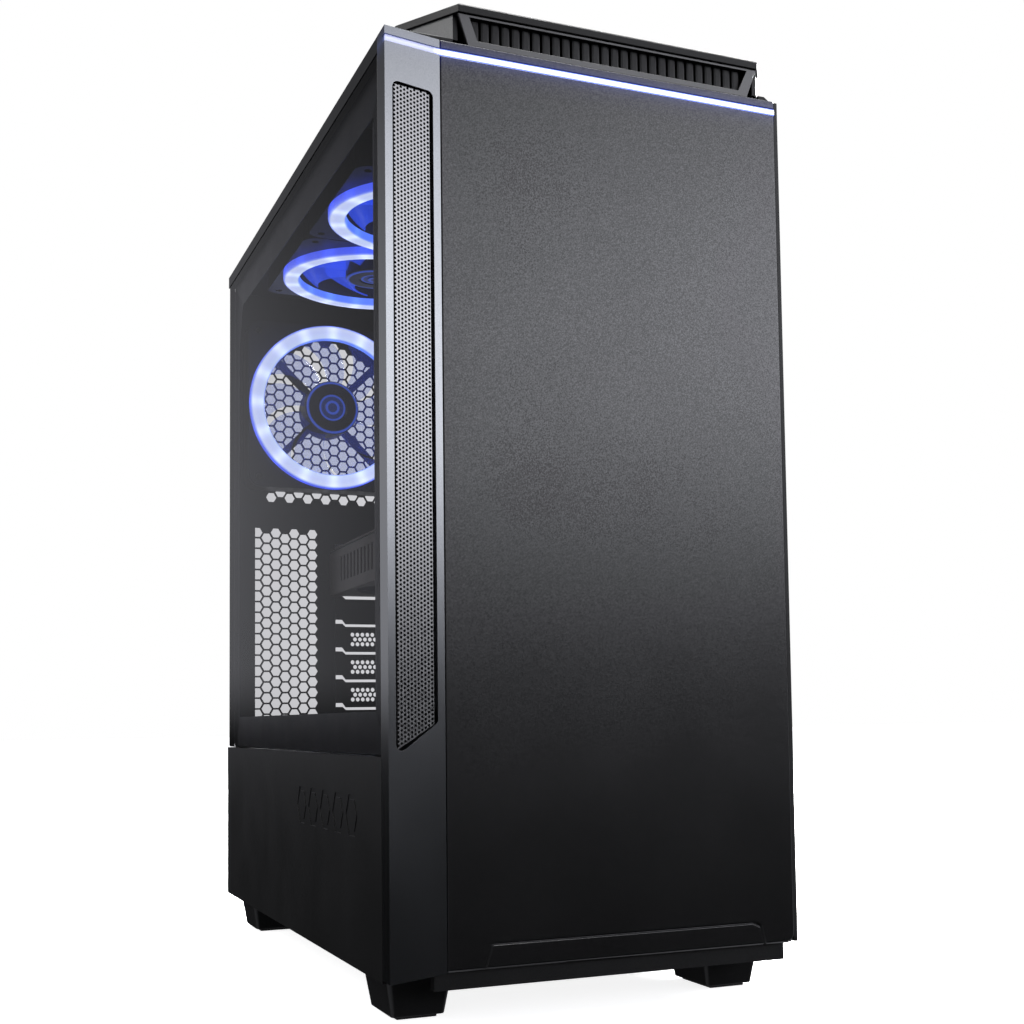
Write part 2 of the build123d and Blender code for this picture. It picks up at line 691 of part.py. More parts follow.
def case_fan_frame():
    face = RectangleRounded(FAN, FAN, 9.0) - Circle(FAN_BORE)
    holes = [Pos(*place) * Circle(SCREW_HOLE) for place in fan_screws(0.0, 0.0)]
    body = extrude(face - holes, FAN_FRAME)
    plate = Pos(0, 0, 1.8) * Cylinder(19.5, 3.6)
    reach = FAN_BORE + 1.0
    strut = Pos(reach / 2, 0, 1.8) * Box(reach, 5.0, 3.6)
    struts = [Rot(0, 0, angle) * strut for angle in (45, 135, 225, 315)]
    pin = Pos(0, 0, 9.0) * Cylinder(SHAFT, 18.0)
    return joined([body, plate, pin] + struts)


def case_fan_ring():
    return extrude(Circle(FAN_RING_OUT) - Circle(FAN_RING_IN), FAN_RING)


CASE_FRAME = case_fan_frame()
CASE_RING = Pos(0, 0, FAN_FRAME) * case_fan_ring()
CASE_ROTOR = Pos(0, 0, 4.2) * rotor(19.5, 54.0, 14.8, 9, 38, cap=3.5)


# ---------------------------------------------------------------- motherboard

def motherboard():
    outer = rectangle(BOARD_FRONT, BOARD_REAR, BOARD_LOW, BOARD_TOP)
    holes = [circle(a, b, 1.9) for a, b in board_screws()]
    return sheet(facing_right(BOARD), BOARD_SHEET, outer, holes)


def board_screws():
    """Places of the nine board screws."""
    return [(y, z) for y in (BOARD_FRONT + 8.0, BOARD_FRONT + 110.0, BOARD_REAR - 12.0)
            for z in (BOARD_LOW + 6.0, BOARD_LOW + 150.0, BOARD_TOP - 6.0)]


def standoffs():
    start = BOARD + BOARD_SHEET
    return [rod(facing_right(start, y, z), 3.0, TRAY - start) for y, z in board_screws()]


def board_connectors():
    """Expansion sockets, memory sockets, and the power and drive sockets at the front edge."""
    parts = []
    for slot in (6, 4, 2):
        z = SLOT_LOW + (slot + 0.6) * SLOT_PITCH
        parts.append(block(BOARD - 11.0, BOARD, BOARD_FRONT + 92.0, BOARD_FRONT + 182.0, z - 3.8, z + 3.8))
    for y in memory_rows():
        parts.append(block(BOARD - 6.0, BOARD, y - 3.2, y + 3.2, FOOT + 268.0, FOOT + 405.0))
    front = BOARD_FRONT + 4.0
    parts.append(block(BOARD - 13.0, BOARD, front, front + 10.0, FOOT + 290.0, FOOT + 342.0))
    for z in steps(FOOT + 150.0, 22.0, 3):
        parts.append(block(BOARD - 9.0, BOARD, BOARD_FRONT + 3.0, BOARD_FRONT + 17.0, z, z + 15.0))
    return parts


def memory_rows():
    return steps(BOARD_FRONT + 52.0, 10.0, 4)


def memory_modules():
    sticks = []
    for y in memory_rows()[1::2]:
        sticks.append(block(BOARD - 36.0, BOARD - 6.0, y - 1.0, y + 1.0, FOOT + 270.0, FOOT + 403.0))
        for side in (-1, 1):
            across = sorted((y + side * 1.0, y + side * 3.2))
            sticks.append(block(BOARD - 38.0, BOARD - 12.0, *across, FOOT + 271.0, FOOT + 402.0))
    return sticks


def board_heatsinks():
    """Finned blocks above and behind the processor, and a flat one near the lower edge."""
    y, z = PROCESSOR
    width = (y - 46.0, y + 46.0)
    tops = [block(BOARD - 24.0, BOARD, *width, low, low + 3.0) for low in steps(z + 56.0, 4.5, 3)]
    top_base = block(BOARD - 6.0, BOARD, *width, z + 56.0, z + 68.0)
    flat = block(BOARD - 9.0, BOARD, BOARD_FRONT + 24.0, BOARD_FRONT + 68.0, FOOT + 150.0, FOOT + 196.0)
    groove = (BOARD - 10.0, BOARD - 5.0, BOARD_FRONT + 20.0, BOARD_FRONT + 72.0)
    cuts = [block(*groove, low, low + 2.0) for low in steps(FOOT + 156.0, 7.0, 5)]
    return [joined([top_base] + tops), flat - Compound(cuts)]


def processor_plane(x):
    y, z = PROCESSOR
    return Plane(origin=(x, y, z), x_dir=(0, 1, 0), z_dir=(-1, 0, 0))


COOLER_BASE = BOARD - 7.0
FIN_DEPTH = 26.0


def processor():
    y, z = PROCESSOR
    socket = block(BOARD - 4.0, BOARD, y - 26.0, y + 26.0, z - 30.0, z + 30.0)
    chip = block(COOLER_BASE, BOARD - 4.0, y - 17.0, y + 17.0, z - 17.0, z + 17.0)
    return [socket, chip]


def processor_heatsink():
    core = Pos(0, 0, FIN_DEPTH / 2) * Cylinder(16.0, FIN_DEPTH)
    fin = Pos(28.0, 0, FIN_DEPTH / 2) * Box(28.0, 1.4, FIN_DEPTH)
    fins = [Rot(0, 0, 10 * index) * fin for index in range(36)]
    plane = processor_plane(COOLER_BASE)
    return plane.location * joined([core] + fins)


COOLER_FAN = COOLER_BASE - FIN_DEPTH


def processor_fan_frame():
    """A round guard on four legs, with a motor plate on three struts."""
    ring = Pos(0, 0, 9.0) * (Cylinder(46.0, 18.0) - Cylinder(43.6, 18.0))
    plate = Pos(0, 0, 1.5) * Cylinder(15.0, 3.0)
    struts = [Rot(0, 0, angle) * Pos(30.0, 0, 1.5) * Box(29.0, 4.0, 3.0) for angle in (0, 120, 240)]
    pin = Pos(0, 0, 7.0) * Cylinder(SHAFT, 14.0)
    leg = Pos(48.5, 0, -8.0) * Box(6.0, 8.0, 48.0)
    legs = [Rot(0, 0, angle) * leg for angle in (45, 135, 225, 315)]
    return processor_plane(COOLER_FAN).location * joined([ring, plate, pin] + struts + legs)


def processor_fan_rotor():
    return processor_plane(COOLER_FAN - 3.6).location * rotor(15.5, 42.6, 13.0, 7, 36)


# ---------------------------------------------------------------- rear ports and slot covers

PORT_X = (IO_PORTS[1] - 2.0)


# Port blocks from bottom to top: height, and reach towards the left
PORTS = [(13.0, 34.0), (13.0, 13.5), (16.0, 16.5), (16.0, 16.5), (28.0, 16.5), (22.0, 13.0), (18.0, 20.0)]


def port_blocks():
    """Lowest point, highest point and left end of each port block."""
    blocks = []
    z = IO_PORTS[2] + 6.0
    for height, reach in PORTS:
        blocks.append((z, z + height, PORT_X - reach))
        z += height + 4.0
    return blocks


NETWORK_PORT = 4                 # which block holds the network socket


def rear_ports():
    solids = []
    for index, (z0, z1, x0) in enumerate(port_blocks()):
        shell = block(x0, PORT_X, BOARD_REAR - 22.0, PAN_REAR - 0.2, z0, z1)
        if index == NETWORK_PORT:
            sockets = [block(x0 + 2.0, PORT_X - 2.0, BOARD_REAR - 14.0, PAN_REAR, z0 + 2.0, z0 + 12.5)]
        else:
            mouth = (x0 + 1.2, PORT_X - 1.2, BOARD_REAR - 10.0, PAN_REAR)
            sockets = [block(*mouth, low, low + 3.4) for low in (z0 + 1.2, z1 - 4.6)]
        solids.append(shell - Compound(sockets))
    return solids


def port_shield():
    x0, x1, z0, z1 = IO_PORTS
    holes = [rectangle(a + 0.4, PORT_X - 0.4, b + 0.4, c - 0.4) for b, c, a in port_blocks()]
    return sheet(facing_front(REAR), 0.8, rectangle(x0 + 0.2, x1 - 0.2, z0 + 0.2, z1 - 0.2), holes)


COVER_Y = PAN_REAR               # outer face of the slot covers
COVER_GAP = 0.95                 # half the gap between two covers
COVER_STEP = (-25.4, -22.9)      # where the covers' edges step down
STEP_LOW = 4.2                   # height of the raised end's lower and upper edges over the gap's middle
STEP_HIGH = 1.3
COVER_HOLE = 1.5
COVER_HOLES = (3.75, 3.5)        # spacing of the holes along a row, and of the rows


def slot_cover(slot, plain):
    middle = SLOT_LOW + slot * SLOT_PITCH
    low = middle + COVER_GAP
    high = middle + SLOT_PITCH - COVER_GAP
    across, rise = COVER_HOLES
    holes = []
    if not plain:
        for row in (-1, 0, 1):
            first = -17.7 + (across / 2 if row == 0 else 0.0)
            v = middle + SLOT_PITCH / 2 + row * rise
            holes += [circle(u, v, COVER_HOLE) for u in steps(first, across, 22)]
    step_start, step_end = COVER_STEP
    lifted = middle + STEP_LOW
    lower = [(SLOT_LEFT, lifted), (step_start, lifted), (step_end, low), (SLOT_RIGHT, low)]
    raised = middle + SLOT_PITCH + STEP_HIGH
    upper = [(SLOT_RIGHT, high), (step_end, high), (step_start, raised), (SLOT_LEFT, raised)]
    cover = sheet(facing_front(COVER_Y), STEEL, outline(lower + upper), holes)
    tab = block(SLOT_RIGHT - STEEL, SLOT_RIGHT, COVER_Y - 9.0, COVER_Y - STEEL, low, high)
    return joined([cover, tab])


def slot_covers():
    return [slot_cover(slot, slot == 0 or slot == 4) for slot in range(SLOT_COUNT - CARD_SLOTS)]


# ---------------------------------------------------------------- graphics card

CARD_FAN_Y = (CARD_FRONT + 56.0, CARD_FRONT + 162.0)
CARD_FAN_X = 13.0
CARD_FAN_R = 43.5


def graphics_board():
    left = CARD_EDGE + 1.0
    low = CARD_BOARD - 0.8
    board = block(left, BOARD - 11.2, CARD_FRONT, CARD_REAR, low, low + BOARD_SHEET)
    power = block(left, left + 11.0, CARD_FRONT + 30.0, CARD_FRONT + 50.0, low - 9.2, low)
    return joined([board, power])


def graphics_backplate():
    holes = [rectangle(x, x + 3.0, CARD_FRONT + 20.0, CARD_FRONT + 70.0, 1.4) for x in steps(-20.0, 8.0, 8)]
    outer = rectangle(CARD_EDGE, BOARD - 14.0, CARD_FRONT, CARD_REAR, 3.0)
    return sheet(facing_up(CARD_BOARD + 0.8), 1.2, outer, holes)


def graphics_shroud():
    top = CARD_BOARD - 0.9
    right = BOARD - 14.0
    wall = 2.0
    outer = block(CARD_EDGE, right, CARD_FRONT, CARD_REAR, CARD_LOW, top)
    inner = block(CARD_EDGE + wall, right - wall, CARD_FRONT + wall, CARD_REAR - wall, CARD_LOW + wall, top + 1.0)
    fans = [rod(facing_up(CARD_LOW - 1.0, CARD_FAN_X, y), CARD_FAN_R, 5.0) for y in CARD_FAN_Y]
    front = CARD_FRONT + 28.0
    notch = block(CARD_EDGE - 1.0, CARD_EDGE + 14.0, front, front + 24.0, top - 11.0, top + 1.0)
    side = (CARD_EDGE - 1.0, CARD_EDGE + 3.0)
    vents = [block(*side, y, y + 4.0, CARD_LOW + 8.0, top - 5.0) for y in steps(CARD_FRONT + 70.0, 9.0, 14)]
    return outer - inner - Compound(fans) - notch - Compound(vents)


def graphics_heatsink():
    low = CARD_LOW + 19.0
    top = CARD_BOARD - 1.2
    left, right = CARD_EDGE + 15.0, BOARD - 18.0
    first = CARD_FRONT + 8.0
    fins = [block(left, right, y, y + 0.9, low, top) for y in steps(first, 4.0, 50)]
    base = block(left, right, first, first + 196.9, top - 3.0, top)
    pin = [rod(facing_up(CARD_LOW + 5.4, CARD_FAN_X, y), SHAFT, low - CARD_LOW - 5.4) for y in CARD_FAN_Y]
    mount = [rod(facing_up(low - 1.6, CARD_FAN_X, y), 12.0, 1.6) for y in CARD_FAN_Y]
    return joined([base] + fins + pin + mount)


def card_rotor(y):
    plane = facing_down(CARD_LOW + 16.6, CARD_FAN_X, y)
    return plane.location * rotor(14.0, 42.0, 12.4, 9, 34, cap=1.6)


def graphics_bracket():
    low = SLOT_LOW + (SLOT_COUNT - CARD_SLOTS) * SLOT_PITCH + STEP_HIGH + 0.6
    high = SLOT_LOW + SLOT_COUNT * SLOT_PITCH - COVER_GAP
    vents = [rectangle(x, x + 3.4, low + 4.0, low + 15.0, 1.6) for x in steps(-22.0, 6.0, 14)]
    ports = [rectangle(x, x + 16.0, high - 14.0, high - 8.0, 0.8) for x in steps(-22.0, 21.0, 4)]
    plate = sheet(facing_front(COVER_Y), STEEL, rectangle(SLOT_LEFT, SLOT_RIGHT, low, high), vents + ports)
    tab = block(SLOT_RIGHT - STEEL, SLOT_RIGHT, COVER_Y - 9.0, COVER_Y - STEEL, low, high)
    return joined([plate, tab])


# ---------------------------------------------------------------- power supply

def power_supply_case():
    x0, x1, y0, y1, z0, z1 = SUPPLY
    shell = block(*SUPPLY) - block(x0 + STEEL, x1 - STEEL, y0 + STEEL, y1 - STEEL, z0 + STEEL, z1 - STEEL)
    fan = rod(facing_up(z0 - 1.0, supply_fan()[0], supply_fan()[1]), SUPPLY_FAN + 2.0, 3.0)
    cuts = []
    for (x, z), half_x, half_z in ((INLET, 14.2, 11.2), (ROCKER, 7.2, 10.2)):
        cuts.append(block(x - half_x, x + half_x, y1 - 2.0, y1 + 1.0, z - half_z, z + half_z))

    def in_field(u, v):
        return x0 + 6.0 < u < INLET[0] - 20.0 and z0 + 7.0 < v < z1 - 7.0

    holes = honeycomb(x0 + 8.0, z0 + 8.0, 13, 10, in_field)
    field = [sheet(facing_front(y1 + 1.0), 3.0, hole) for hole in holes]
    return shell - fan - Compound(cuts) - Compound(field)


def supply_fan():
    x0, x1, y0, y1, z0, z1 = SUPPLY
    return (x0 + x1) / 2, (y0 + y1) / 2


def power_supply_guard():
    """Wire rings and two bars across the fan's opening, under the case."""
    x, y = supply_fan()
    z = SUPPLY[4]
    rings = [Pos(x, y, z - 0.9) * Torus(radius, 0.9) for radius in (14.0, 26.0, 38.0, 50.0, 61.5)]
    bar = Rot(0, 90, 0) * Cylinder(0.9, 125.0)
    bars = [Pos(x, y, z - 0.9) * Rot(0, 0, angle) * bar for angle in (45, 135)]
    return joined(rings + bars)


def power_supply_rotor():
    x, y = supply_fan()
    return facing_down(SUPPLY[4] + 17.0, x, y).location * rotor(20.0, SUPPLY_FAN - 1.5, 14.0, 7, 34)


def power_supply_fan_mount():
    """A cross of struts that holds the fan's shaft inside the case."""
    x, y = supply_fan()
    z = SUPPLY[4] + 18.4
    plate = rod(facing_up(z, x, y), 20.0, 3.0)
    bars = [Pos(x, y, z + 1.5) * Rot(0, 0, angle) * Box(134.0, 5.0, 3.0) for angle in (0, 90)]
    pin = rod(facing_up(z - 12.0, x, y), SHAFT, 12.0)
    return joined([plate, pin] + bars)


def power_supply_board():
    x0, x1, y0, y1, z0, z1 = SUPPLY
    board = block(x0 + 6.0, x1 - 6.0, y0 + 6.0, y1 - 30.0, z1 - 8.0, z1 - 6.4)
    low = z0 + 24.0
    parts = [block(x0 + 20.0, x0 + 24.0, y0 + 12.0, y1 - 40.0, low, z1 - 8.0)]
    parts.append(block(x1 - 34.0, x1 - 30.0, y0 + 12.0, y1 - 40.0, low, z1 - 8.0))
    parts.append(block(x0 + 50.0, x0 + 88.0, y0 + 40.0, y0 + 72.0, low + 8.0, z1 - 8.0))
    for y in (y0 + 24.0, y0 + 92.0):
        parts.append(rod(facing_up(low + 4.0, x0 + 38.0, y), 9.0, z1 - 12.0 - low))
    return joined([board] + parts)


def mains_inlet():
    """A recessed three-pin socket."""
    x, z = INLET
    mouth = PAN_REAR + 0.6
    deep = 18.0
    body = block(x - 14.0, x + 14.0, mouth - deep - 2.0, mouth, z - 11.0, z + 11.0)
    cavity = block(x - 12.2, x + 12.2, mouth - deep, mouth + 1.0, z - 8.8, z + 8.8)
    pins = []
    for a, b in ((x - 7.0, z + 1.0), (x, z + 4.5), (x + 7.0, z + 1.0)):
        pins.append(block(a - 1.0, a + 1.0, mouth - deep - 0.5, mouth - 3.0, b - 2.0, b + 2.0))
    return joined([body - cavity] + pins)


ROCKER_DEEP = 9.0


def rocker_frame():
    x, z = ROCKER
    face = PAN_REAR + 0.6
    body = block(x - 7.0, x + 7.0, face - 14.0, face, z - 10.0, z + 10.0)
    return body - block(x - 5.2, x + 5.2, face - ROCKER_DEEP, face + 1.0, z - 8.4, z + 8.4)


ROCKER_TILT = 9.0


def rocker_switch():
    """The rocker, resting at one end of its travel. It turns about X at the middle of its frame."""
    x, z = ROCKER
    face = PAN_REAR + 0.6
    profile = [(-7.2, 2.6), (0.0, 1.2), (7.2, 2.6), (5.6, -4.6), (-5.6, -4.6)]
    wire = outline([(-b, a) for a, b in profile])
    body = Solid.extrude(Face(wire), Vector(0, 0, 9.6))
    plane = Plane(origin=(x - 4.8, face, z), x_dir=(0, -1, 0), z_dir=(1, 0, 0))
    pivot = Pos(x, face, z)
    tilted = pivot * Rot(ROCKER_TILT, 0, 0) * Pos(-x, -face, -z) * plane.location * body
    return joined([tilted, rod(facing_right(x - 5.1, face, z), 0.9, 10.2)])


def supply_rests():
    x0, x1, y0, y1, z0, z1 = SUPPLY
    places = [(x, y) for x in (x0 + 1.0, x1 - 11.0) for y in (y0 + 4.0, y1 - 22.0)]
    return [block(x, x + 10.0, y, y + 16.0, FOOT + STEEL, z0) for x, y in places]


FILTER_Z = (FOOT - 4.0, FOOT - 1.2)
FILTER_X = (-62.0, 62.0)


def supply_filter():
    """The framed dust filter that slides out to the rear under the case."""
    low, high = FILTER_Z
    x0, x1 = FILTER_X
    window = (x0 + 6.0, x1 - 6.0, 68.0, 188.0)
    frame = sheet(facing_up(low), high - low, rectangle(x0, x1, 62.0, 196.0, 3.0), [rectangle(*window, 2.0)])
    net = block(*window, low + 1.0, low + 1.8)
    pull = block(x0 + 40.0, x1 - 40.0, 194.0, 199.0, low - 1.5, high)
    return joined([frame, net, pull])


def filter_rails():
    low = FILTER_Z[0] - 1.8
    rails = []
    for side, x in ((-1, FILTER_X[0]), (1, FILTER_X[1])):
        near = x + side * 0.4
        far = x + side * 2.4
        lip = x - side * 2.5
        wall = block(min(near, far), max(near, far), 62.0, 192.0, low, FOOT)
        ledge = block(min(lip, far), max(lip, far), 62.0, 192.0, low, low + 1.4)
        rails.append(joined([wall, ledge]))
    return rails


# ---------------------------------------------------------------- drives

SLED_LOW = CAGE[4] + 10.0
SLED_GAP = 1.2


def drive_sled():
    """A tray with two side walls, a floor and a handle at its right end."""
    x0 = CAGE[0] + 4.0
    x1 = CAGE[1] + 3.0
    y0 = CAGE[2] + STEEL + SLED_GAP
    y1 = CAGE[3] - STEEL - SLED_GAP
    floor = block(x0, x1, y0, y1, SLED_LOW, SLED_LOW + 2.0)
    gap = (y0 + 16.0, y1 - 16.0, SLED_LOW - 1.0, SLED_LOW + 3.0)
    gaps = [block(x, x + 18.0, *gap) for x in steps(x0 + 12.0, 27.0, 5)]
    walls = [block(x0, x1, y, y + 3.0, SLED_LOW, SLED_LOW + 24.0) for y in (y0, y1 - 3.0)]
    handle = block(x1 - 3.0, x1, y0, y1, SLED_LOW, SLED_LOW + 14.0)
    return joined([floor - Compound(gaps), handle] + walls)


def hard_drive():
    x0 = CAGE[0] + 4.6
    y0 = (CAGE[2] + CAGE[3] - DRIVE[1]) / 2
    low = SLED_LOW + 2.0
    x1 = CAGE[1] + 3.0 - 3.2
    case = block(x0, x1, y0, y0 + DRIVE[1], low, low + DRIVE[2])
    dish = rod(facing_up(low + DRIVE[2] - 1.0, x0 + 58.0, y0 + DRIVE[1] / 2), 42.0, 2.0)
    return case - dish


def ssd_bracket():
    y0, z0 = FRONT + 52.0, FOOT + 180.0
    return sheet(facing_right(TRAY + STEEL), STEEL, rectangle(y0, y0 + 76.0, z0, z0 + 106.0, 4.0),
                 [rectangle(y0 + 24.0, y0 + 52.0, z0 + 30.0, z0 + 76.0, 4.0)])


def solid_state_drive():
    y0, z0 = FRONT + 55.0, FOOT + 183.0
    plane = facing_right(TRAY + 2 * STEEL)
    return sheet(plane, 7.0, rectangle(y0, y0 + 69.85, z0, z0 + 100.0, 2.0))


# ---------------------------------------------------------------- power cables

def cable(points, radii, diameter):
    """A round cable along straight runs joined by arcs."""
    path = FilletPolyline(*points, radius=radii)
    start = Plane(origin=path @ 0, z_dir=path % 0)
    print("cable length", round(path.length), "radii", radii)
    return sweep(start * Circle(diameter / 2), path=path)


def board_power_cable():
    y, z = CABLE_HOLES[1]
    x = BOARD - 6.5
    middle_y = y + CABLE_HOLE[0] / 2
    middle_z = FOOT + 316.0
    behind = TRAY + 11.0
    points = [(x, BOARD_FRONT + 4.0, middle_z), (x, middle_y, middle_z), (behind, middle_y, middle_z),
              (behind, middle_y, FOOT + 84.0), (20.0, middle_y, FOOT + 84.0), (20.0, SUPPLY[2], FOOT + 84.0)]
    return cable(points, [9.0, 9.0, 24.0, 40.0], 8.0)


# ---------------------------------------------------------------- write every node

# Chassis
write("bottom_pan", bottom_pan(), *filter_rails())
write("rear_panel", rear_panel())
write("roof_panel", roof_panel())
write("front_frame", front_frame(), *edge_rails())
write("motherboard_tray", motherboard_tray())
write("rubber_grommets", *grommets(), *supply_rests())
write("power_supply_cover", power_supply_cover())
write("drive_cage", drive_cage())
write("feet", *feet(), *foot_pads())
write("roof_deck", roof_deck())

# Raised lid
write("lid_plate", lid_plate())
write("lid_skirt", lid_skirt(), lid_ribs())
write("lid_vent_frame", lid_vent_frame())
write("roof_filter", roof_filter())

# Front bezel and its controls
write("front_panel", front_panel())
write("bezel_side_strip", bezel_side_strip())
write("intake_mesh", intake_mesh())
write("led_light_bar", led_light_bar())
write("bezel_frame", bezel_frame())
write("front_filter", front_filter(), *bezel_clips())
write("front_io_board", *front_io_board())
write("front_sockets", *usb_sockets(), *audio_jacks())
write("power_button", power_button())
write("reset_button", reset_button())

# Side panels
write("glass_panel", glass_panel())
write("glass_border", glass_border())
write("glass_bracket", glass_bracket(), *thumbscrews(-1, (SPLIT + 40.0, PANEL_TOP - 60.0)))
write("lower_side_panel", lower_side_panel(), *thumbscrews(-1, (FOOT + 50.0,)))
write("right_side_panel", right_side_panel(), *thumbscrews(1, (FOOT + 90.0, FOOT + 360.0)))

# Case fans
REAR_FAN_PLACE = facing_front(PAN_REAR, *REAR_FAN).location
ROOF_FAN_PLACES = [facing_down(ROOF, ROOF_FAN_X, y).location for y in ROOF_FAN_Y]
write("rear_fan_frame", REAR_FAN_PLACE * CASE_FRAME)
write("rear_fan_light_ring", REAR_FAN_PLACE * CASE_RING)
write("rear_fan_rotor", REAR_FAN_PLACE * CASE_ROTOR)
write("roof_fan_frames", *[place * CASE_FRAME for place in ROOF_FAN_PLACES])
write("roof_fan_light_rings", *[place * CASE_RING for place in ROOF_FAN_PLACES])
write("roof_fan_front_rotor", ROOF_FAN_PLACES[0] * CASE_ROTOR)
write("roof_fan_rear_rotor", ROOF_FAN_PLACES[1] * CASE_ROTOR)

# Motherboard and what is on it
write("motherboard", motherboard(), *standoffs())
write("board_connectors", *board_connectors(), *processor())
write("memory_modules", *memory_modules())
write("board_heatsinks", *board_heatsinks())
write("processor_heatsink", processor_heatsink())
write("processor_fan_frame", processor_fan_frame())
write("processor_fan_rotor", processor_fan_rotor())
write("rear_ports", *rear_ports(), port_shield())
write("slot_covers", *slot_covers())

# Graphics card
write("graphics_board", graphics_board(), graphics_heatsink())
write("graphics_shroud", graphics_shroud())
write("graphics_bracket", graphics_bracket(), graphics_backplate())
write("graphics_fan_front", card_rotor(CARD_FAN_Y[0]))
write("graphics_fan_rear", card_rotor(CARD_FAN_Y[1]))

# Power supply
write("power_supply_case", power_supply_case(), power_supply_guard())
write("power_supply_board", power_supply_board(), power_supply_fan_mount())
write("power_supply_rotor", power_supply_rotor())
write("mains_inlet", mains_inlet(), rocker_frame())
write("rocker_switch", rocker_switch())
write("supply_filter", supply_filter())
write("board_power_cable", board_power_cable())

# Drives
write("drive_sled", drive_sled())
write("hard_drive", hard_drive())
write("solid_state_drive", solid_state_drive(), ssd_bracket())
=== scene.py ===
import json
from math import cos, pi, radians, sin

import bmesh
import bpy
from mathutils import Matrix, Vector

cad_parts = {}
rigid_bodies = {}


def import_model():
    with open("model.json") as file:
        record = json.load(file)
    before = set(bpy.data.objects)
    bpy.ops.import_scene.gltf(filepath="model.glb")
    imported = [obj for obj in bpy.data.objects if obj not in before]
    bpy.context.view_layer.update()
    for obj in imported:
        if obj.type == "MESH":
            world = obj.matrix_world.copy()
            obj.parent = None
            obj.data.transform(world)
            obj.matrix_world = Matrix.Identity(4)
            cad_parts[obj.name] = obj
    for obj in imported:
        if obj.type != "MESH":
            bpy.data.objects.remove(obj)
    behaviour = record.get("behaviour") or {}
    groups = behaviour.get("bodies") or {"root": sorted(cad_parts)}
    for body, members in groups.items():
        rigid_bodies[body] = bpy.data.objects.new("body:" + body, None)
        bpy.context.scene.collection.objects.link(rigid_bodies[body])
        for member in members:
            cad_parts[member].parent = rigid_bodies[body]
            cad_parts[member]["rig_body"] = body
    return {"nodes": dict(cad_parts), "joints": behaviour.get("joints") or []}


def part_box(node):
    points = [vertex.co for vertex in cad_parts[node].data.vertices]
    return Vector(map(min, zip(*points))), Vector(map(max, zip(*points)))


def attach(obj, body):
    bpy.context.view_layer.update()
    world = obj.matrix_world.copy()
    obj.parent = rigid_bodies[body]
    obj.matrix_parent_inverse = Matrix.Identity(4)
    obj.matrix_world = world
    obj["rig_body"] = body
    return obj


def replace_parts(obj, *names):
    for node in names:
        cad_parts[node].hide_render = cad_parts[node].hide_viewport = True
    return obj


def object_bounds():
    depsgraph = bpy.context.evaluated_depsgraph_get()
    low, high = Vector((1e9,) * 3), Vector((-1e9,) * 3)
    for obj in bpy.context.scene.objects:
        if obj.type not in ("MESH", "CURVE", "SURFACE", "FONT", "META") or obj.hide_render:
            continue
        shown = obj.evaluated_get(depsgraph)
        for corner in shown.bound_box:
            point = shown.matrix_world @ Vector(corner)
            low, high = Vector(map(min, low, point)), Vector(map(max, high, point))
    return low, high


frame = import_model()
CAD_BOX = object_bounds()

# Desktop computer tower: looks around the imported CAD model. Metres, +Z up, front towards -Y.

MM = 0.001
NODES = frame["nodes"]
JOINTS = {joint["child"]: joint for joint in frame["joints"]}
BODY_OF = {node: NODES[node]["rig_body"] for node in NODES}
SLOT_OF = {node: NODES[node].data.materials[0].name for node in NODES}
LOW, HIGH = CAD_BOX
MIDDLE = (LOW + HIGH) / 2
LEFT, FRONT, DOWN = Vector((-1, 0, 0)), Vector((0, -1, 0)), Vector((0, 0, -1))

BAR_LOW, BAR_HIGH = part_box("led_light_bar")
BAR_Z = (BAR_LOW.z + BAR_HIGH.z) / 2
PANEL_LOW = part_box("front_panel")[0]
BOARD_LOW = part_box("motherboard")[0]
CARD_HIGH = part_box("graphics_board")[1]
STRIP_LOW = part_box("bezel_side_strip")[0]
STRIP_SLOPE = (PANEL_LOW.y - STRIP_LOW.y) / (PANEL_LOW.x - LOW.x)
RING_LOW, RING_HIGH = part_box("rear_fan_light_ring")
RING_OUT = (RING_HIGH.x - RING_LOW.x) / 2
RING_IN = RING_OUT - 10 * MM

RING_GLOW = 1.35                 # emission between a ring's lamps
RING_LAMP = 0.7                  # and how much more there is at a lamp
RING_LAMPS = 16.0
GLASS_CLEAR = 0.88               # share of light that the glass lets through

WHITE = (1.0, 1.0, 1.0, 1.0)
LED_BLUE = (0.06, 0.16, 1.0, 1.0)


# ---------------------------------------------------------------- material nodes

class Tree:
    """Short ways to add shader nodes to a material or a world."""

    def __init__(self, owner):
        owner.use_nodes = True
        self.tree = owner.node_tree

    def add(self, kind, **settings):
        node = self.tree.nodes.new(kind)
        for key, value in settings.items():
            setattr(node, key, value)
        return node

    def link(self, source, target):
        self.tree.links.new(source, target)

    def maths(self, operation, first, second=None, third=None):
        node = self.add("ShaderNodeMath", operation=operation)
        for socket, value in zip(node.inputs, (first, second, third)):
            if value is None:
                continue
            if isinstance(value, (int, float)):
                socket.default_value = value
            else:
                self.link(value, socket)
        return node.outputs[0]

    def span(self, value, low, high, start, end, ends="LINEAR"):
        """value from low..high turned into start..end, held outside that. SMOOTHSTEP gives soft ends."""
        node = self.add("ShaderNodeMapRange", interpolation_type=ends)
        for socket, number in zip(node.inputs[1:5], (low, high, start, end)):
            socket.default_value = number
        self.link(value, node.inputs["Value"])
        return node.outputs["Result"]


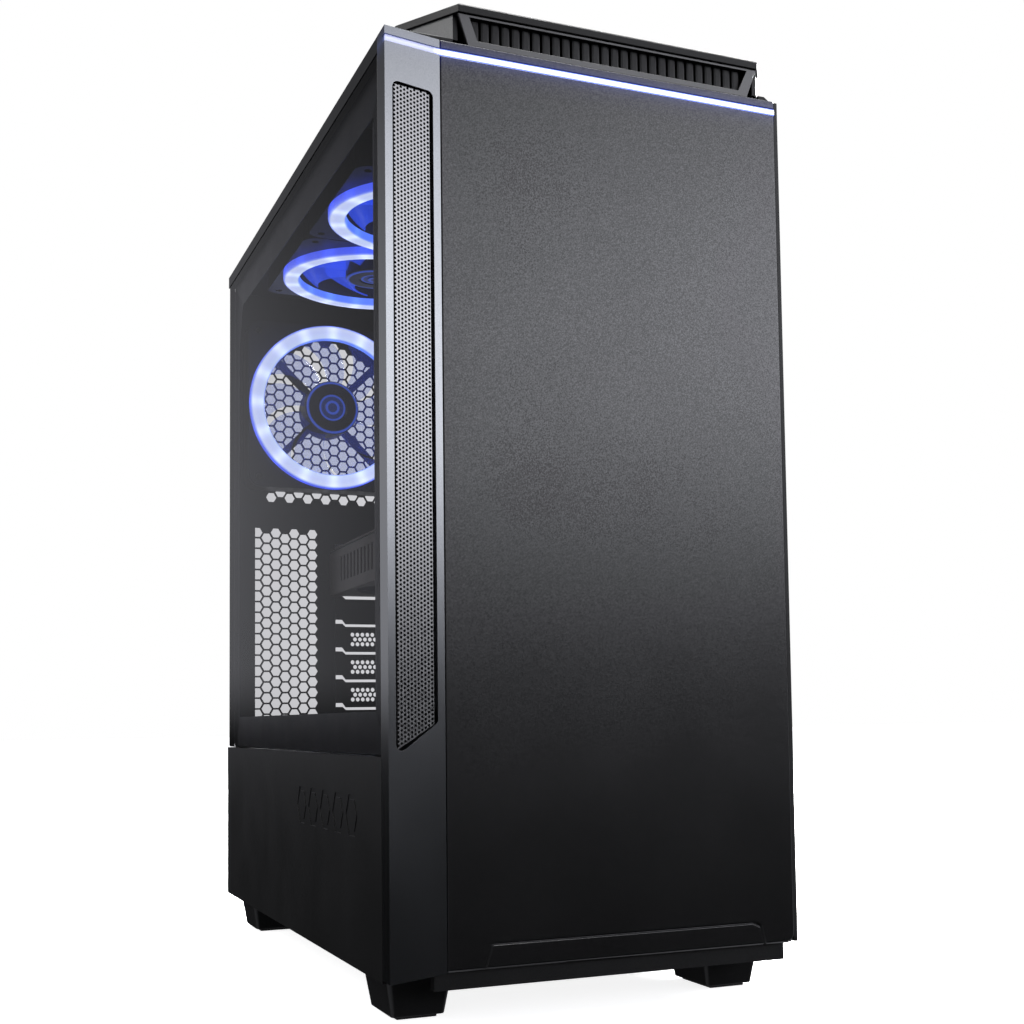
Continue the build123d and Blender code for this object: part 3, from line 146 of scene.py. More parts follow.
class Nodes(Tree):
    """A material with a Principled shader."""

    def __init__(self, name):
        self.material = bpy.data.materials.new(name)
        super().__init__(self.material)
        self.shader = self.tree.nodes["Principled BSDF"]
        self.output = self.tree.nodes["Material Output"]

    def place(self):
        """The point in the piece's own coordinates, in metres."""
        return self.add("ShaderNodeTexCoord").outputs["Object"]

    def axes(self):
        """The X, Y and Z of that point."""
        split = self.add("ShaderNodeSeparateXYZ")
        self.link(self.place(), split.inputs[0])
        return split.outputs

    def off_axis(self):
        """The point's distance from its own Z axis."""
        x, y, _ = self.axes()
        squares = self.maths("ADD", self.maths("MULTIPLY", x, x), self.maths("MULTIPLY", y, y))
        return self.maths("SQRT", squares)

    def noise(self, size, detail=2.0, roughness=0.5, stretch=(1, 1, 1)):
        """Noise whose blobs are about size metres across, longer where stretch is larger."""
        mapping = self.add("ShaderNodeMapping")
        mapping.inputs["Scale"].default_value = [1 / s for s in stretch]
        self.link(self.place(), mapping.inputs["Vector"])
        noise = self.add("ShaderNodeTexNoise")
        noise.inputs["Scale"].default_value = 1 / size
        noise.inputs["Detail"].default_value = detail
        noise.inputs["Roughness"].default_value = roughness
        self.link(mapping.outputs[0], noise.inputs["Vector"])
        return noise.outputs["Fac"]

    def ramp(self, factor, stops):
        """Colours along a factor, from (position, colour) stops."""
        node = self.add("ShaderNodeValToRGB")
        band = node.color_ramp.elements
        while len(band) < len(stops):
            band.new(0.5)
        for element, (position, colour) in zip(band, stops):
            element.position = position
            element.color = colour
        self.link(factor, node.inputs["Fac"])
        return node.outputs["Color"]

    def bump(self, height, distance, strength=1.0):
        node = self.add("ShaderNodeBump")
        node.inputs["Distance"].default_value = distance
        node.inputs["Strength"].default_value = strength
        self.link(height, node.inputs["Height"])
        self.link(node.outputs[0], self.shader.inputs["Normal"])

    def colour(self, socket):
        self.link(socket, self.shader.inputs["Base Color"])

    def roughness(self, socket):
        self.link(socket, self.shader.inputs["Roughness"])

    def set(self, **values):
        """Plain values on the shader's own sockets."""
        for name, value in values.items():
            self.shader.inputs[name.replace("_", " ")].default_value = value
        return self


def grey(value, warmth=0.0):
    """A neutral colour, warmer or cooler by warmth."""
    return (value * (1 + warmth), value, value * (1 - warmth), 1.0)


def coated(name, dark, light, rough, grain=0.35, bump=0.02, warmth=0.0, metallic=0.0, specular=0.5,
           wear=0.06):
    """Paint, powder coat or moulded plastic: a fine grain in colour and surface over broad cloudy patches.

    grain and bump are in millimetres. wear is how far the roughness strays from patch to patch.
    """
    made = Nodes(name)
    fine = made.noise(grain * MM, detail=3.0, roughness=0.6)
    cloud = made.noise(38 * MM, detail=3.0)
    made.colour(made.ramp(fine, [(0.34, grey(dark, warmth)), (0.68, grey(light, warmth))]))
    made.roughness(made.span(cloud, 0.3, 0.7, rough - wear, rough + wear))
    made.bump(fine, bump * MM)
    return made.set(Metallic=metallic, Specular_IOR_Level=specular)


def painted_glow_from_bar(made, reach, strength, colour):
    """Painted glow: emission on the surface round the bar that stands in for the bar's light, fading with the
    height above or below it.
    """
    away = made.maths("ABSOLUTE", made.maths("SUBTRACT", made.axes()["Z"], BAR_Z))
    fade = made.maths("EXPONENT", made.maths("MULTIPLY", away, -1 / reach))
    made.link(made.maths("MULTIPLY", fade, strength), made.shader.inputs["Emission Strength"])
    made.set(Emission_Color=colour)


def front_plastic():
    made = coated("front_plastic", 0.0012, 0.0045, 0.25, grain=0.7, bump=0.006, wear=0.01)
    speck = made.noise(0.7 * MM, detail=4.0, roughness=0.7)
    made.link(made.span(speck, 0.36, 0.64, 0.42, 0.90), made.shader.inputs["Specular IOR Level"])
    # painted blue glow on the panel round the light bar
    painted_glow_from_bar(made, 2.6 * MM, 0.22, (0.06, 0.12, 1.0, 1.0))
    return made


def strip_plastic():
    made = coated("strip_plastic", 0.175, 0.215, 0.20, grain=0.4, bump=0.0025, warmth=-0.03, metallic=1.0,
                  wear=0.01)
    # painted blue glow on the strip round the light bar
    painted_glow_from_bar(made, 3 * MM, 0.08, (0.20, 0.30, 1.0, 1.0))
    return made


def brushed(name, dark, light, rough, along=(1, 30, 1), metallic=1.0):
    """Bare metal with fine scratches that run along one axis."""
    made = Nodes(name)
    scratch = made.noise(0.25 * MM, detail=3.0, stretch=along)
    made.colour(made.ramp(scratch, [(0.3, grey(dark)), (0.7, grey(light))]))
    made.roughness(made.span(scratch, 0.3, 0.7, rough - 0.07, rough + 0.07))
    made.bump(scratch, 0.004 * MM)
    return made.set(Metallic=metallic)


def light_bar():
    """A milky light guide: white in the middle, blue at its edges, dimmer on the side strip."""
    made = Nodes("light_bar")
    x, _, z = made.axes()
    off = made.maths("ABSOLUTE", made.maths("SUBTRACT", z, BAR_Z))
    across = made.maths("DIVIDE", off, (BAR_HIGH.z - BAR_LOW.z) / 2)
    body = made.ramp(across, [(0.0, WHITE), (0.50, (0.80, 0.88, 1.0, 1.0)), (0.80, (0.06, 0.14, 0.80, 1.0))])
    side = made.ramp(across, [(0.0, (0.15, 0.18, 0.38, 1.0)), (0.9, (0.04, 0.06, 0.24, 1.0))])
    share = made.span(x, PANEL_LOW.x - 4 * MM, PANEL_LOW.x + 2 * MM, 0.0, 1.0)
    mix = made.add("ShaderNodeMix", data_type="RGBA")
    made.link(share, mix.inputs["Factor"])
    made.link(side, mix.inputs["A"])
    made.link(body, mix.inputs["B"])
    made.link(mix.outputs["Result"], made.shader.inputs["Emission Color"])
    return made.set(Base_Color=grey(0.6), Emission_Strength=1.5, Roughness=0.3)


def light_ring():
    """A fan's diffuser ring: white, with bright lamps along it, and deep blue at both edges."""
    made = Nodes("light_ring")
    x, y, _ = made.axes()
    turn = made.maths("ARCTAN2", y, x)
    waves = made.maths("COSINE", made.maths("MULTIPLY", turn, RING_LAMPS))
    lamps = made.maths("MULTIPLY_ADD", waves, 0.5, 0.5)
    band = made.span(made.off_axis(), RING_IN, RING_OUT, 0.0, 1.0)
    blue_to_white = [(0.0, (0.10, 0.22, 1.0, 1.0)), (0.10, (0.62, 0.74, 1.0, 1.0)),
                     (0.50, (0.58, 0.66, 1.0, 1.0)), (0.84, (0.66, 0.74, 1.0, 1.0)),
                     (0.92, (0.30, 0.40, 1.0, 1.0)), (1.0, (0.02, 0.06, 0.90, 1.0))]
    colour = made.ramp(band, blue_to_white)
    made.link(colour, made.shader.inputs["Emission Color"])
    strength = made.maths("MULTIPLY_ADD", made.maths("POWER", lamps, 3.0), RING_LAMP, RING_GLOW)
    made.link(strength, made.shader.inputs["Emission Strength"])
    return made.set(Base_Color=(0.5, 0.58, 0.8, 1.0), Roughness=0.4)


def tinted_glass():
    """Smoked tempered glass: it lets lamps through, and reflects by angle."""
    made = Nodes("glass")
    smear = made.noise(60 * MM, detail=4.0)
    made.roughness(made.span(smear, 0.35, 0.65, 0.03, 0.07))
    made.set(Base_Color=grey(0.012), Specular_IOR_Level=0.5, Coat_Weight=0.0)
    clear = made.add("ShaderNodeBsdfTransparent")
    clear.inputs["Color"].default_value = (GLASS_CLEAR, GLASS_CLEAR, GLASS_CLEAR * 1.02, 1.0)
    fresnel = made.add("ShaderNodeFresnel")
    fresnel.inputs["IOR"].default_value = 1.45
    entering = made.maths("SUBTRACT", 1.0, made.add("ShaderNodeNewGeometry").outputs["Backfacing"])
    mix = made.add("ShaderNodeMixShader")
    made.link(made.maths("MULTIPLY", fresnel.outputs[0], entering), mix.inputs[0])
    made.link(clear.outputs[0], mix.inputs[1])
    made.link(made.shader.outputs[0], mix.inputs[2])
    made.link(mix.outputs[0], made.output.inputs["Surface"])
    return made


def clear_plastic(name, tint, share, lit):
    """Thin tinted clear plastic, as on a fan's blades: mostly see-through, with a painted blue glow of
    strength lit for the lamp light the blades carry.
    """
    made = Nodes(name)
    cloud = made.noise(9 * MM, detail=2.0)
    made.colour(made.ramp(cloud, [(0.3, tint), (0.7, tuple(0.7 * c for c in tint[:3]) + (1.0,))]))
    made.roughness(made.span(cloud, 0.3, 0.7, 0.12, 0.22))
    # painted blue glow on the blades, which are no lamp
    made.set(Emission_Color=(0.03, 0.10, 1.0, 1.0), Emission_Strength=lit)
    clear = made.add("ShaderNodeBsdfTransparent")
    clear.inputs["Color"].default_value = (0.90, 0.93, 1.0, 1.0)
    mix = made.add("ShaderNodeMixShader")
    mix.inputs[0].default_value = share
    made.link(clear.outputs[0], mix.inputs[1])
    made.link(made.shader.outputs[0], mix.inputs[2])
    made.link(mix.outputs[0], made.output.inputs["Surface"])
    return made


def circuit_board():
    """A black board with faint copper tracks under the lacquer."""
    made = Nodes("board")
    cells = made.add("ShaderNodeTexVoronoi", feature="DISTANCE_TO_EDGE", distance="CHEBYCHEV")
    cells.inputs["Scale"].default_value = 1 / (5.5 * MM)
    made.link(made.place(), cells.inputs["Vector"])
    tracks = made.ramp(cells.outputs["Distance"], [(0.02, (0.020, 0.030, 0.028, 1.0)),
                                                   (0.07, (0.008, 0.011, 0.012, 1.0))])
    made.colour(tracks)
    fine = made.noise(0.5 * MM)
    made.roughness(made.span(fine, 0.3, 0.7, 0.3, 0.42))
    made.bump(cells.outputs["Distance"], 0.05 * MM, strength=0.4)
    return made.set(Specular_IOR_Level=0.5)


def net(name, pitch, dark, light):
    """A fine woven net."""
    made = Nodes(name)
    x, y, z = made.axes()
    waves = [made.maths("SINE", made.maths("MULTIPLY", axis, 2 * pi / pitch)) for axis in (x, y, z)]
    weave = made.maths("ADD", made.maths("ADD", waves[0], waves[1]), waves[2])
    made.colour(made.ramp(made.span(weave, -1.5, 1.5, 0.0, 1.0), [(0.2, grey(dark)), (0.8, grey(light))]))
    made.bump(weave, 0.1 * MM, strength=0.6)
    return made.set(Roughness=0.8)


def hub_plastic():
    """A fan's hub about its own Z: dark, with lit rings round its label and its rim."""
    made = Nodes("fan_hub")
    band = made.span(made.off_axis(), 0.0, 20 * MM, 0.0, 1.0)
    off, on, dim = (0.0, 0.0, 0.0, 1.0), LED_BLUE, (0.01, 0.03, 0.20, 1.0)
    rings = [(0.0, dim), (0.16, dim), (0.18, on), (0.24, on), (0.27, dim), (0.40, dim), (0.42, on),
             (0.46, on), (0.49, off), (0.85, off), (0.88, on), (0.93, on), (0.955, off), (1.0, off)]
    made.link(made.ramp(band, rings), made.shader.inputs["Emission Color"])
    fine = made.noise(0.4 * MM)
    made.colour(made.ramp(fine, [(0.3, grey(0.008)), (0.7, grey(0.014))]))
    made.roughness(made.span(fine, 0.3, 0.7, 0.3, 0.4))
    return made.set(Emission_Strength=0.55)


MATERIALS = {
    "black_steel": coated("black_steel", 0.005, 0.010, 0.38, grain=0.5, bump=0.008, specular=0.22, wear=0.03),
    "inner_steel": coated("inner_steel", 0.028, 0.045, 0.50, grain=0.5, bump=0.02, specular=0.3, wear=0.03),
    "black_plastic": coated("black_plastic", 0.005, 0.010, 0.42, grain=0.6, bump=0.01, specular=0.3,
                            wear=0.03),
    "front_plastic": front_plastic(),
    "strip_plastic": strip_plastic(),
    "mesh_metal": brushed("mesh_metal", 0.17, 0.25, 0.24, along=(1, 1, 8)),
    "light_bar": light_bar(),
    "light_ring": light_ring(),
    "fan_frame": coated("fan_frame", 0.007, 0.014, 0.40, grain=0.7, bump=0.015, specular=0.45),
    # fan blades carry a faint painted blue glow
    "fan_blade": clear_plastic("fan_blade", (0.04, 0.09, 0.45, 1.0), 0.12, 0.45),
    "glass": tinted_glass(),
    "print": coated("print", 0.006, 0.009, 0.35, grain=0.8, bump=0.0, specular=0.3),
    "rubber": coated("rubber", 0.012, 0.024, 0.75, grain=0.9, bump=0.05, specular=0.3),
    "board": circuit_board(),
    "connector": coated("connector", 0.014, 0.028, 0.42, grain=0.5, bump=0.015, specular=0.45),
    "heatsink": brushed("heatsink", 0.16, 0.26, 0.38, along=(1, 18, 1)),
    "card_plastic": coated("card_plastic", 0.026, 0.042, 0.40, grain=0.6, bump=0.015, warmth=0.18),
    "bare_steel": brushed("bare_steel", 0.42, 0.58, 0.30, along=(20, 1, 1)),
    "filter": net("filter", 0.9 * MM, 0.010, 0.032),
    "drive_metal": brushed("drive_metal", 0.30, 0.42, 0.42, along=(1, 12, 1)),
    "switch_plastic": coated("switch_plastic", 0.010, 0.020, 0.30, grain=0.4, bump=0.008, specular=0.5),
    "cable": coated("cable", 0.010, 0.022, 0.65, grain=0.5, bump=0.05, specular=0.3),
}
# lighter grey painted on the lid's slanted left wall, standing in for the light that falls on it
PAINTED_LIT_WALL = coated("painted_lit_wall", 0.045, 0.075, 0.40, grain=0.5, bump=0.01, specular=0.6, wear=0.02)
# lighter grey painted on the vent frame above its lower bar, standing in for the light on it
PAINTED_LIT_VENT_FRAME = coated("vent_frame", 0.080, 0.110, 0.34, grain=0.4, bump=0.005, metallic=1.0, wear=0.02)
# roof fans' blades carry a brighter painted blue glow
GLOW_PAINTED_BLADE = clear_plastic("glow_painted_blade", (0.04, 0.09, 0.45, 1.0), 0.34, 1.3)
HUB = hub_plastic()
BRASS = brushed("brass", 0.45, 0.60, 0.30).set(Base_Color=(0.6, 0.42, 0.18, 1.0))
NICKEL = brushed("dark_nickel", 0.06, 0.12, 0.30, along=(1, 1, 6))
ALUMINIUM = brushed("aluminium", 0.55, 0.70, 0.32, along=(1, 20, 1))


def finish_of(slot):
    """The Blender material of one of the record's material slots."""
    return MATERIALS[slot].material


# ---------------------------------------------------------------- mesh helpers

SHARP_EDGE = radians(35)


def piece_from(bm, name, body, slot, material=None):
    """A piece made from a bmesh, riding on a body, smooth apart from its sharp edges."""
    mesh = bpy.data.meshes.new(name)
    bm.normal_update()
    bm.to_mesh(mesh)
    bm.free()
    for polygon in mesh.polygons:
        polygon.use_smooth = True
    mesh.set_sharp_from_angle(angle=SHARP_EDGE)
    made = bpy.data.objects.new(name, mesh)
    bpy.context.scene.collection.objects.link(made)
    mesh.materials.append(material or finish_of(slot))
    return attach(made, body)


def bevelled(made, width):
    """Rounds the piece's sharp edges by width millimetres."""
    modifier = made.modifiers.new("rounding", "BEVEL")
    modifier.width = width * MM
    modifier.segments = 2
    modifier.limit_method = "ANGLE"
    modifier.angle_limit = radians(40)
    modifier.harden_normals = True


def node_mesh(node):
    """A bmesh of a CAD node, welded, with its flat faces made whole again."""
    bm = bmesh.new()
    bm.from_mesh(NODES[node].data)
    bmesh.ops.remove_doubles(bm, verts=bm.verts, dist=0.004 * MM)
    bmesh.ops.dissolve_limit(bm, angle_limit=radians(0.6), verts=bm.verts, edges=bm.edges)
    return bm


def refined(node, width, paint=()):
    """A rounded copy of a CAD node. paint holds (material, test of a face's middle in millimetres)."""
    made = piece_from(node_mesh(node), "fine_" + node, BODY_OF[node], SLOT_OF[node])
    for custom in [a for a in made.data.attributes if a.name == "custom_normal"]:
        made.data.attributes.remove(custom)
    for index, (material, chosen) in enumerate(paint, start=1):
        made.data.materials.append(material)
        for polygon in made.data.polygons:
            x, y, z = polygon.center / MM
            if chosen(x, y, z):
                polygon.material_index = index
    if width:
        bevelled(made, width)
    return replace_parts(made, node)


def circle(place, radius, height, steps):
    """Points round place's Z."""
    angles = [2 * pi * index / steps for index in range(steps)]
    return [place @ Vector((radius * cos(a), radius * sin(a), height)) for a in angles]


def turned(bm, profile, place, steps):
    """Adds a round body: profile points (radius, height) turned about place's Z. Ends at radius 0 close."""
    rings = []
    for radius, height in profile:
        if radius == 0:
            rings.append([bm.verts.new(place @ Vector((0, 0, height)))])
            continue
        rings.append([bm.verts.new(point) for point in circle(place, radius, height, steps)])
    for lower, upper in zip(rings, rings[1:]):
        for index in range(steps):
            after = (index + 1) % steps
            if len(lower) == 1:
                bm.faces.new((lower[0], upper[after], upper[index]))
            elif len(upper) == 1:
                bm.faces.new((lower[index], lower[after], upper[0]))
            else:
                bm.faces.new((lower[index], lower[after], upper[after], upper[index]))


def closed_ring(bm, profile):
    """Adds a ring about Z whose section is the closed profile."""
    turned(bm, profile + [profile[0]], Matrix.Identity(4), 96)
    bmesh.ops.remove_doubles(bm, verts=bm.verts, dist=0.001 * MM)


def cuboid(bm, low, high, round_off):
    """Adds a box between two corners, with rounded edges."""
    made = bmesh.ops.create_cube(bm, size=1.0)["verts"]
    size = high - low
    for vertex in made:
        vertex.co = low + Vector(((vertex.co[i] + 0.5) * size[i] for i in range(3)))
    edges = {edge for vertex in made for edge in vertex.link_edges}
    bmesh.ops.bevel(bm, geom=list(edges), offset=round_off, segments=2, affect="EDGES", profile=0.6)


def towards(centre, direction, sideways=Vector((1, 0, 0))):
    """A frame at centre whose Z is direction."""
    z = direction.normalized()
    x = (sideways - z * sideways.dot(z)).normalized()
    y = z.cross(x)
    turn = Matrix((x, y, z)).transposed().to_4x4()
    return Matrix.Translation(centre) @ turn


# ---------------------------------------------------------------- carried-over nodes

def plain_nodes():
    """Gives every CAD node its finish. Most are replaced by finer pieces below."""
    for node, made in NODES.items():
        made.data.materials[0] = finish_of(SLOT_OF[node])


# Rounding of each node's edges, in millimetres. A width of 0 leaves them sharp.
ROUNDED = {
    "front_panel": 0.45, "bezel_side_strip": 0.35, "led_light_bar": 0.2, "bezel_frame": 0.3,
    "lid_plate": 0.3, "roof_deck": 0.4,
    "front_filter": 0.3, "power_button": 0.5, "reset_button": 0.35,
    "hard_drive": 0.9, "memory_modules": 0.4, "board_heatsinks": 0.35,
    "graphics_shroud": 0.6, "drive_cage": 0.2, "drive_sled": 0.4,
    "rear_fan_frame": 0.5, "roof_fan_frames": 0.5, "processor_fan_frame": 0.4,
    "mains_inlet": 0.3, "rocker_switch": 0.4, "supply_filter": 0.3, "rubber_grommets": 0.4,
    "processor_heatsink": 0.15, "power_supply_cover": 0.0, "slot_covers": 0.0,
}


# Where a node's second material starts, in millimetres.
SCREW_HEADS_Y = 201.65
FOOT_PAD_TOP = 1.65
DRIVE_BRACKET_X = 81.55
IO_SOCKETS_X = 87.6
JACKS_TOP = 345.0
CARD_EDGE_X = -20.1
BACKPLATE_Z = 264.2
BACKPLATE_HALF = 0.55
BRACKET_Y = 197.0
PORT_BLOCKS_Y = 199.0
PORT_BLOCKS_X = (28.5, 69.5)
SOCKET_Y = (84.0, 140.0)
SOCKET_Z = (325.0, 389.0)
SILL = 2.6                       # height of the vent frame's lower bar
WALL = 14.0                      # width of the lid's slanted left wall
RIM = 0.1                        # faces of the glass this far inside its thickness are its rim
LACQUER = 1.7                    # thickness of a printed board


def between(value, limits):
    """Whether the value lies inside the two limits."""
    return limits[0] < value < limits[1]


def rounded_nodes():
    """Replaces the CAD nodes by rounded copies, some with a second material."""
    for node, width in ROUNDED.items():
        refined(node, width)
    black, rubber, steel = finish_of("black_plastic"), finish_of("rubber"), finish_of("bare_steel")
    moulding, cover = finish_of("connector"), finish_of("card_plastic")
    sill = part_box("lid_vent_frame")[0].z / MM + SILL
    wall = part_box("lid_skirt")[0].x / MM + WALL
    glass = [corner.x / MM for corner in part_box("glass_panel")]
    rim = (glass[0] + RIM, glass[1] - RIM)
    board_front = BOARD_LOW.x / MM + LACQUER
    card_face = CARD_HIGH.z / MM - LACQUER
    # the vent frame above its lower bar gets the painted lighter grey; the lower bar stays black
    refined("lid_vent_frame", 0.3, paint=[(black, lambda x, y, z: z < sill),
                                          (PAINTED_LIT_VENT_FRAME.material, lambda x, y, z: z >= sill)])
    # the slanted left wall gets the painted lighter grey of the light falling on it
    refined("lid_skirt", 0.2, paint=[(PAINTED_LIT_WALL.material, lambda x, y, z: x < wall)])
    refined("glass_panel", 0.3, paint=[(finish_of("print"), lambda x, y, z: between(x, rim))])
    for node in ("lower_side_panel", "right_side_panel", "glass_bracket"):
        refined(node, 0.25, paint=[(NICKEL.material, lambda x, y, z: y > SCREW_HEADS_Y)])
    refined("feet", 0.6, paint=[(rubber, lambda x, y, z: z < FOOT_PAD_TOP)])
    refined("motherboard", 0.0, paint=[(BRASS.material, lambda x, y, z: x > board_front)])
    refined("board_connectors", 0.35,
            paint=[(steel, lambda x, y, z: between(y, SOCKET_Y) and between(z, SOCKET_Z))])
    refined("graphics_board", 0.0,
            paint=[(ALUMINIUM.material, lambda x, y, z: z < card_face and x > CARD_EDGE_X)])
    refined("graphics_bracket", 0.15,
            paint=[(cover, lambda x, y, z: y < BRACKET_Y and abs(z - BACKPLATE_Z) > BACKPLATE_HALF)])
    refined("rear_ports", 0.2,
            paint=[(moulding, lambda x, y, z: y < PORT_BLOCKS_Y and between(x, PORT_BLOCKS_X))])
    refined("power_supply_case", 0.25)
    refined("solid_state_drive", 0.5, paint=[(finish_of("inner_steel"), lambda x, y, z: x < DRIVE_BRACKET_X)])
    refined("front_io_board", 0.2, paint=[(moulding, lambda x, y, z: x > IO_SOCKETS_X)])
    refined("front_sockets", 0.1, paint=[(moulding, lambda x, y, z: z < JACKS_TOP)])


# ---------------------------------------------------------------- intake mesh

MESH_PITCH = 2.0 * MM
MESH_HOLE = 0.66 * MM            # radius
MESH_THICK = 0.6 * MM
MESH_SET_BACK = 0.3 * MM
HOLE_SIDES = 12


def punched_sheet(bm, width, low, high):
    """Adds a flat honeycomb of cells, each with a round hole. It is larger than width by low..high."""
    column_step = MESH_PITCH * 3 ** 0.5
    cell = MESH_PITCH / 3 ** 0.5
    for row in range(int((high - low) / (MESH_PITCH / 2)) + 3):
        for column in range(int(width / column_step) + 3):
            u = (column - 1) * column_step + (row % 2) * column_step / 2
            v = low + (row - 1) * MESH_PITCH / 2
            outer, inner = [], []
            for index in range(HOLE_SIDES):
                angle = 2 * pi * index / HOLE_SIDES
                reach = cell if index % 2 == 0 else cell * cos(pi / 6)
                outer.append(bm.verts.new((u + reach * cos(angle), v + reach * sin(angle), 0)))
                inner.append(bm.verts.new((u + MESH_HOLE * cos(angle), v + MESH_HOLE * sin(angle), 0)))
            for index in range(HOLE_SIDES):
                after = (index + 1) % HOLE_SIDES
                bm.faces.new((outer[index], outer[after], inner[after], inner[index]))
    bmesh.ops.remove_doubles(bm, verts=bm.verts, dist=0.02 * MM)


def intake_mesh():
    """Punched metal with staggered round holes, cut to the outline of the CAD plate."""
    low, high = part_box("intake_mesh")
    corners = [Vector(v.co) for v in NODES["intake_mesh"].data.vertices]
    front = min(corners, key=lambda c: c.y - c.x * STRIP_SLOPE)
    along = Vector((1.0, STRIP_SLOPE, 0.0)).normalized()
    up = Vector((0, 0, 1))
    inward = up.cross(along)
    origin = Vector((front.x, front.y, 0)) + inward * MESH_SET_BACK
    place = Matrix((along, up, inward)).transposed().to_4x4()
    place.translation = origin - along * ((front.x - low.x) / along.x)
    bm = bmesh.new()
    punched_sheet(bm, (high.x - low.x) / along.x, low.z, high.z)
    outline = mesh_outline(corners, low, high)
    for first, second in zip(outline, outline[1:] + outline[:1]):
        start, end = place.inverted() @ first, place.inverted() @ second
        outward = Vector((end.y - start.y, start.x - end.x, 0)).normalized()
        start.z = 0
        everything = bm.verts[:] + bm.edges[:] + bm.faces[:]
        bmesh.ops.bisect_plane(bm, geom=everything, plane_co=start, plane_no=outward, clear_outer=True)
    raised = bmesh.ops.extrude_face_region(bm, geom=bm.faces[:])["geom"]
    for vertex in [made for made in raised if isinstance(made, bmesh.types.BMVert)]:
        vertex.co.z += MESH_THICK
    bmesh.ops.recalc_face_normals(bm, faces=bm.faces)
    bm.transform(place)
    made = piece_from(bm, "perforated_intake", BODY_OF["intake_mesh"], "mesh_metal")
    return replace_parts(made, "intake_mesh")


def mesh_outline(corners, low, high):
    """The plate's four corners, from bottom left to bottom right and on to top left."""
    left = [c for c in corners if c.x < low.x + 1.5 * MM]
    right = [c for c in corners if c.x > high.x - 1.5 * MM]
    return [min(left, key=lambda c: c.z), min(right, key=lambda c: c.z),
            max(right, key=lambda c: c.z), max(left, key=lambda c: c.z)]


# ---------------------------------------------------------------- lid vent

LOUVRE_START = -62.0 * MM
LOUVRE_PITCH = 5.35 * MM
LOUVRE_WIDTH = 4.2 * MM
LOUVRES = 28


def vent_louvres():
    """Wide fronts on the ribs behind the lid's vent, with narrow gaps between them."""
    low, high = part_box("lid_vent_frame")
    bm = bmesh.new()
    for index in range(LOUVRES):
        x = LOUVRE_START + index * LOUVRE_PITCH
        start = Vector((x, high.y + 0.3 * MM, low.z + 1.6 * MM))
        end = Vector((x + LOUVRE_WIDTH, high.y + 5.4 * MM, high.z - 0.1 * MM))
        cuboid(bm, start, end, 0.5 * MM)
    return piece_from(bm, "vent_louvres", "lid", "black_plastic")


# ---------------------------------------------------------------- fans

HUB_EDGE = 1.2 * MM
BLADE_THICK = 0.9 * MM
BLADE_SWEEP = radians(24)        # how far a blade's tip lies behind its root
BLADE_COVER = 0.86               # share of the circle that the blades cover
BLADE_BOW = 2.2 * MM
ALONG, CHORD = 9, 8              # a blade's grid


def spin_frame(body, facing):
    """A frame on a fan's axis, with Z towards facing and its origin level with the joint's point."""
    joint = JOINTS[body]
    axis = Vector(joint["axis"])
    if axis.dot(facing) < 0:
        axis = -axis
    side = Vector((0, 1, 0)) if abs(axis.x) > 0.5 else Vector((1, 0, 0))
    return towards(Vector(joint["pos_m"]), axis, side)


def reach_along(node, place):
    """Lowest and highest of a node along a frame's Z."""
    heights = [(place.inverted() @ Vector(v.co)).z for v in NODES[node].data.vertices]
    return min(heights), max(heights)


def hub_profile(hub, low, high):
    """A hub's section, with a groove round its label."""
    return [(hub - 1.5 * MM, low), (hub, low + HUB_EDGE), (hub, high - HUB_EDGE), (hub - HUB_EDGE, high),
            (hub * 0.55, high), (hub * 0.52, high - 0.5 * MM), (hub * 0.30, high - 0.5 * MM),
            (hub * 0.27, high), (0, high)]


def blade_grid(bm, root, hub, tip, blades, low, top):
    """Adds one curved blade whose root is at the angle root."""
    share = 2 * pi / blades * BLADE_COVER
    grid = []
    for i in range(ALONG + 1):
        t = i / ALONG
        radius = hub - 0.3 * MM + (tip - hub) * t
        middle = root + BLADE_SWEEP * t * t
        row = []
        for k in range(CHORD + 1):
            s = k / CHORD - 0.5
            angle = middle + s * share * (1.0 - 0.10 * t)
            slope = s * (top - low - 1.8 * MM) * (1.0 - 0.2 * t)
            height = (low + top) / 2 + slope + (0.25 - s * s) * BLADE_BOW
            row.append(bm.verts.new((radius * cos(angle), radius * sin(angle), height)))
        grid.append(row)
    for i in range(ALONG):
        for k in range(CHORD):
            bm.faces.new((grid[i][k], grid[i + 1][k], grid[i + 1][k + 1], grid[i][k + 1]))


def fan_wheel(node, facing, hub, tip, blades, cap, blade=None):
    """A hub and curved blades that replace a plain rotor, as two pieces about the fan's axis."""
    body = BODY_OF[node]
    place = spin_frame(body, facing)
    low, high = reach_along(node, place)
    bm = bmesh.new()
    turned(bm, hub_profile(hub, low, high), Matrix.Identity(4), 64)
    bmesh.ops.contextual_create(bm, geom=[e for e in bm.edges if e.is_boundary])
    centre = piece_from(bm, "hub_" + node, body, "fan_blade", HUB.material)
    centre.matrix_world = place
    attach(centre, body)
    bm = bmesh.new()
    for index in range(blades):
        blade_grid(bm, 2 * pi * index / blades, hub, tip, blades, low, high - cap)
    wheel = piece_from(bm, "blades_" + node, body, "fan_blade", blade)
    wheel.matrix_world = place
    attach(wheel, body)
    thick = wheel.modifiers.new("thickness", "SOLIDIFY")
    thick.thickness = BLADE_THICK
    thick.offset = 0.0
    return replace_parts(centre, node), wheel


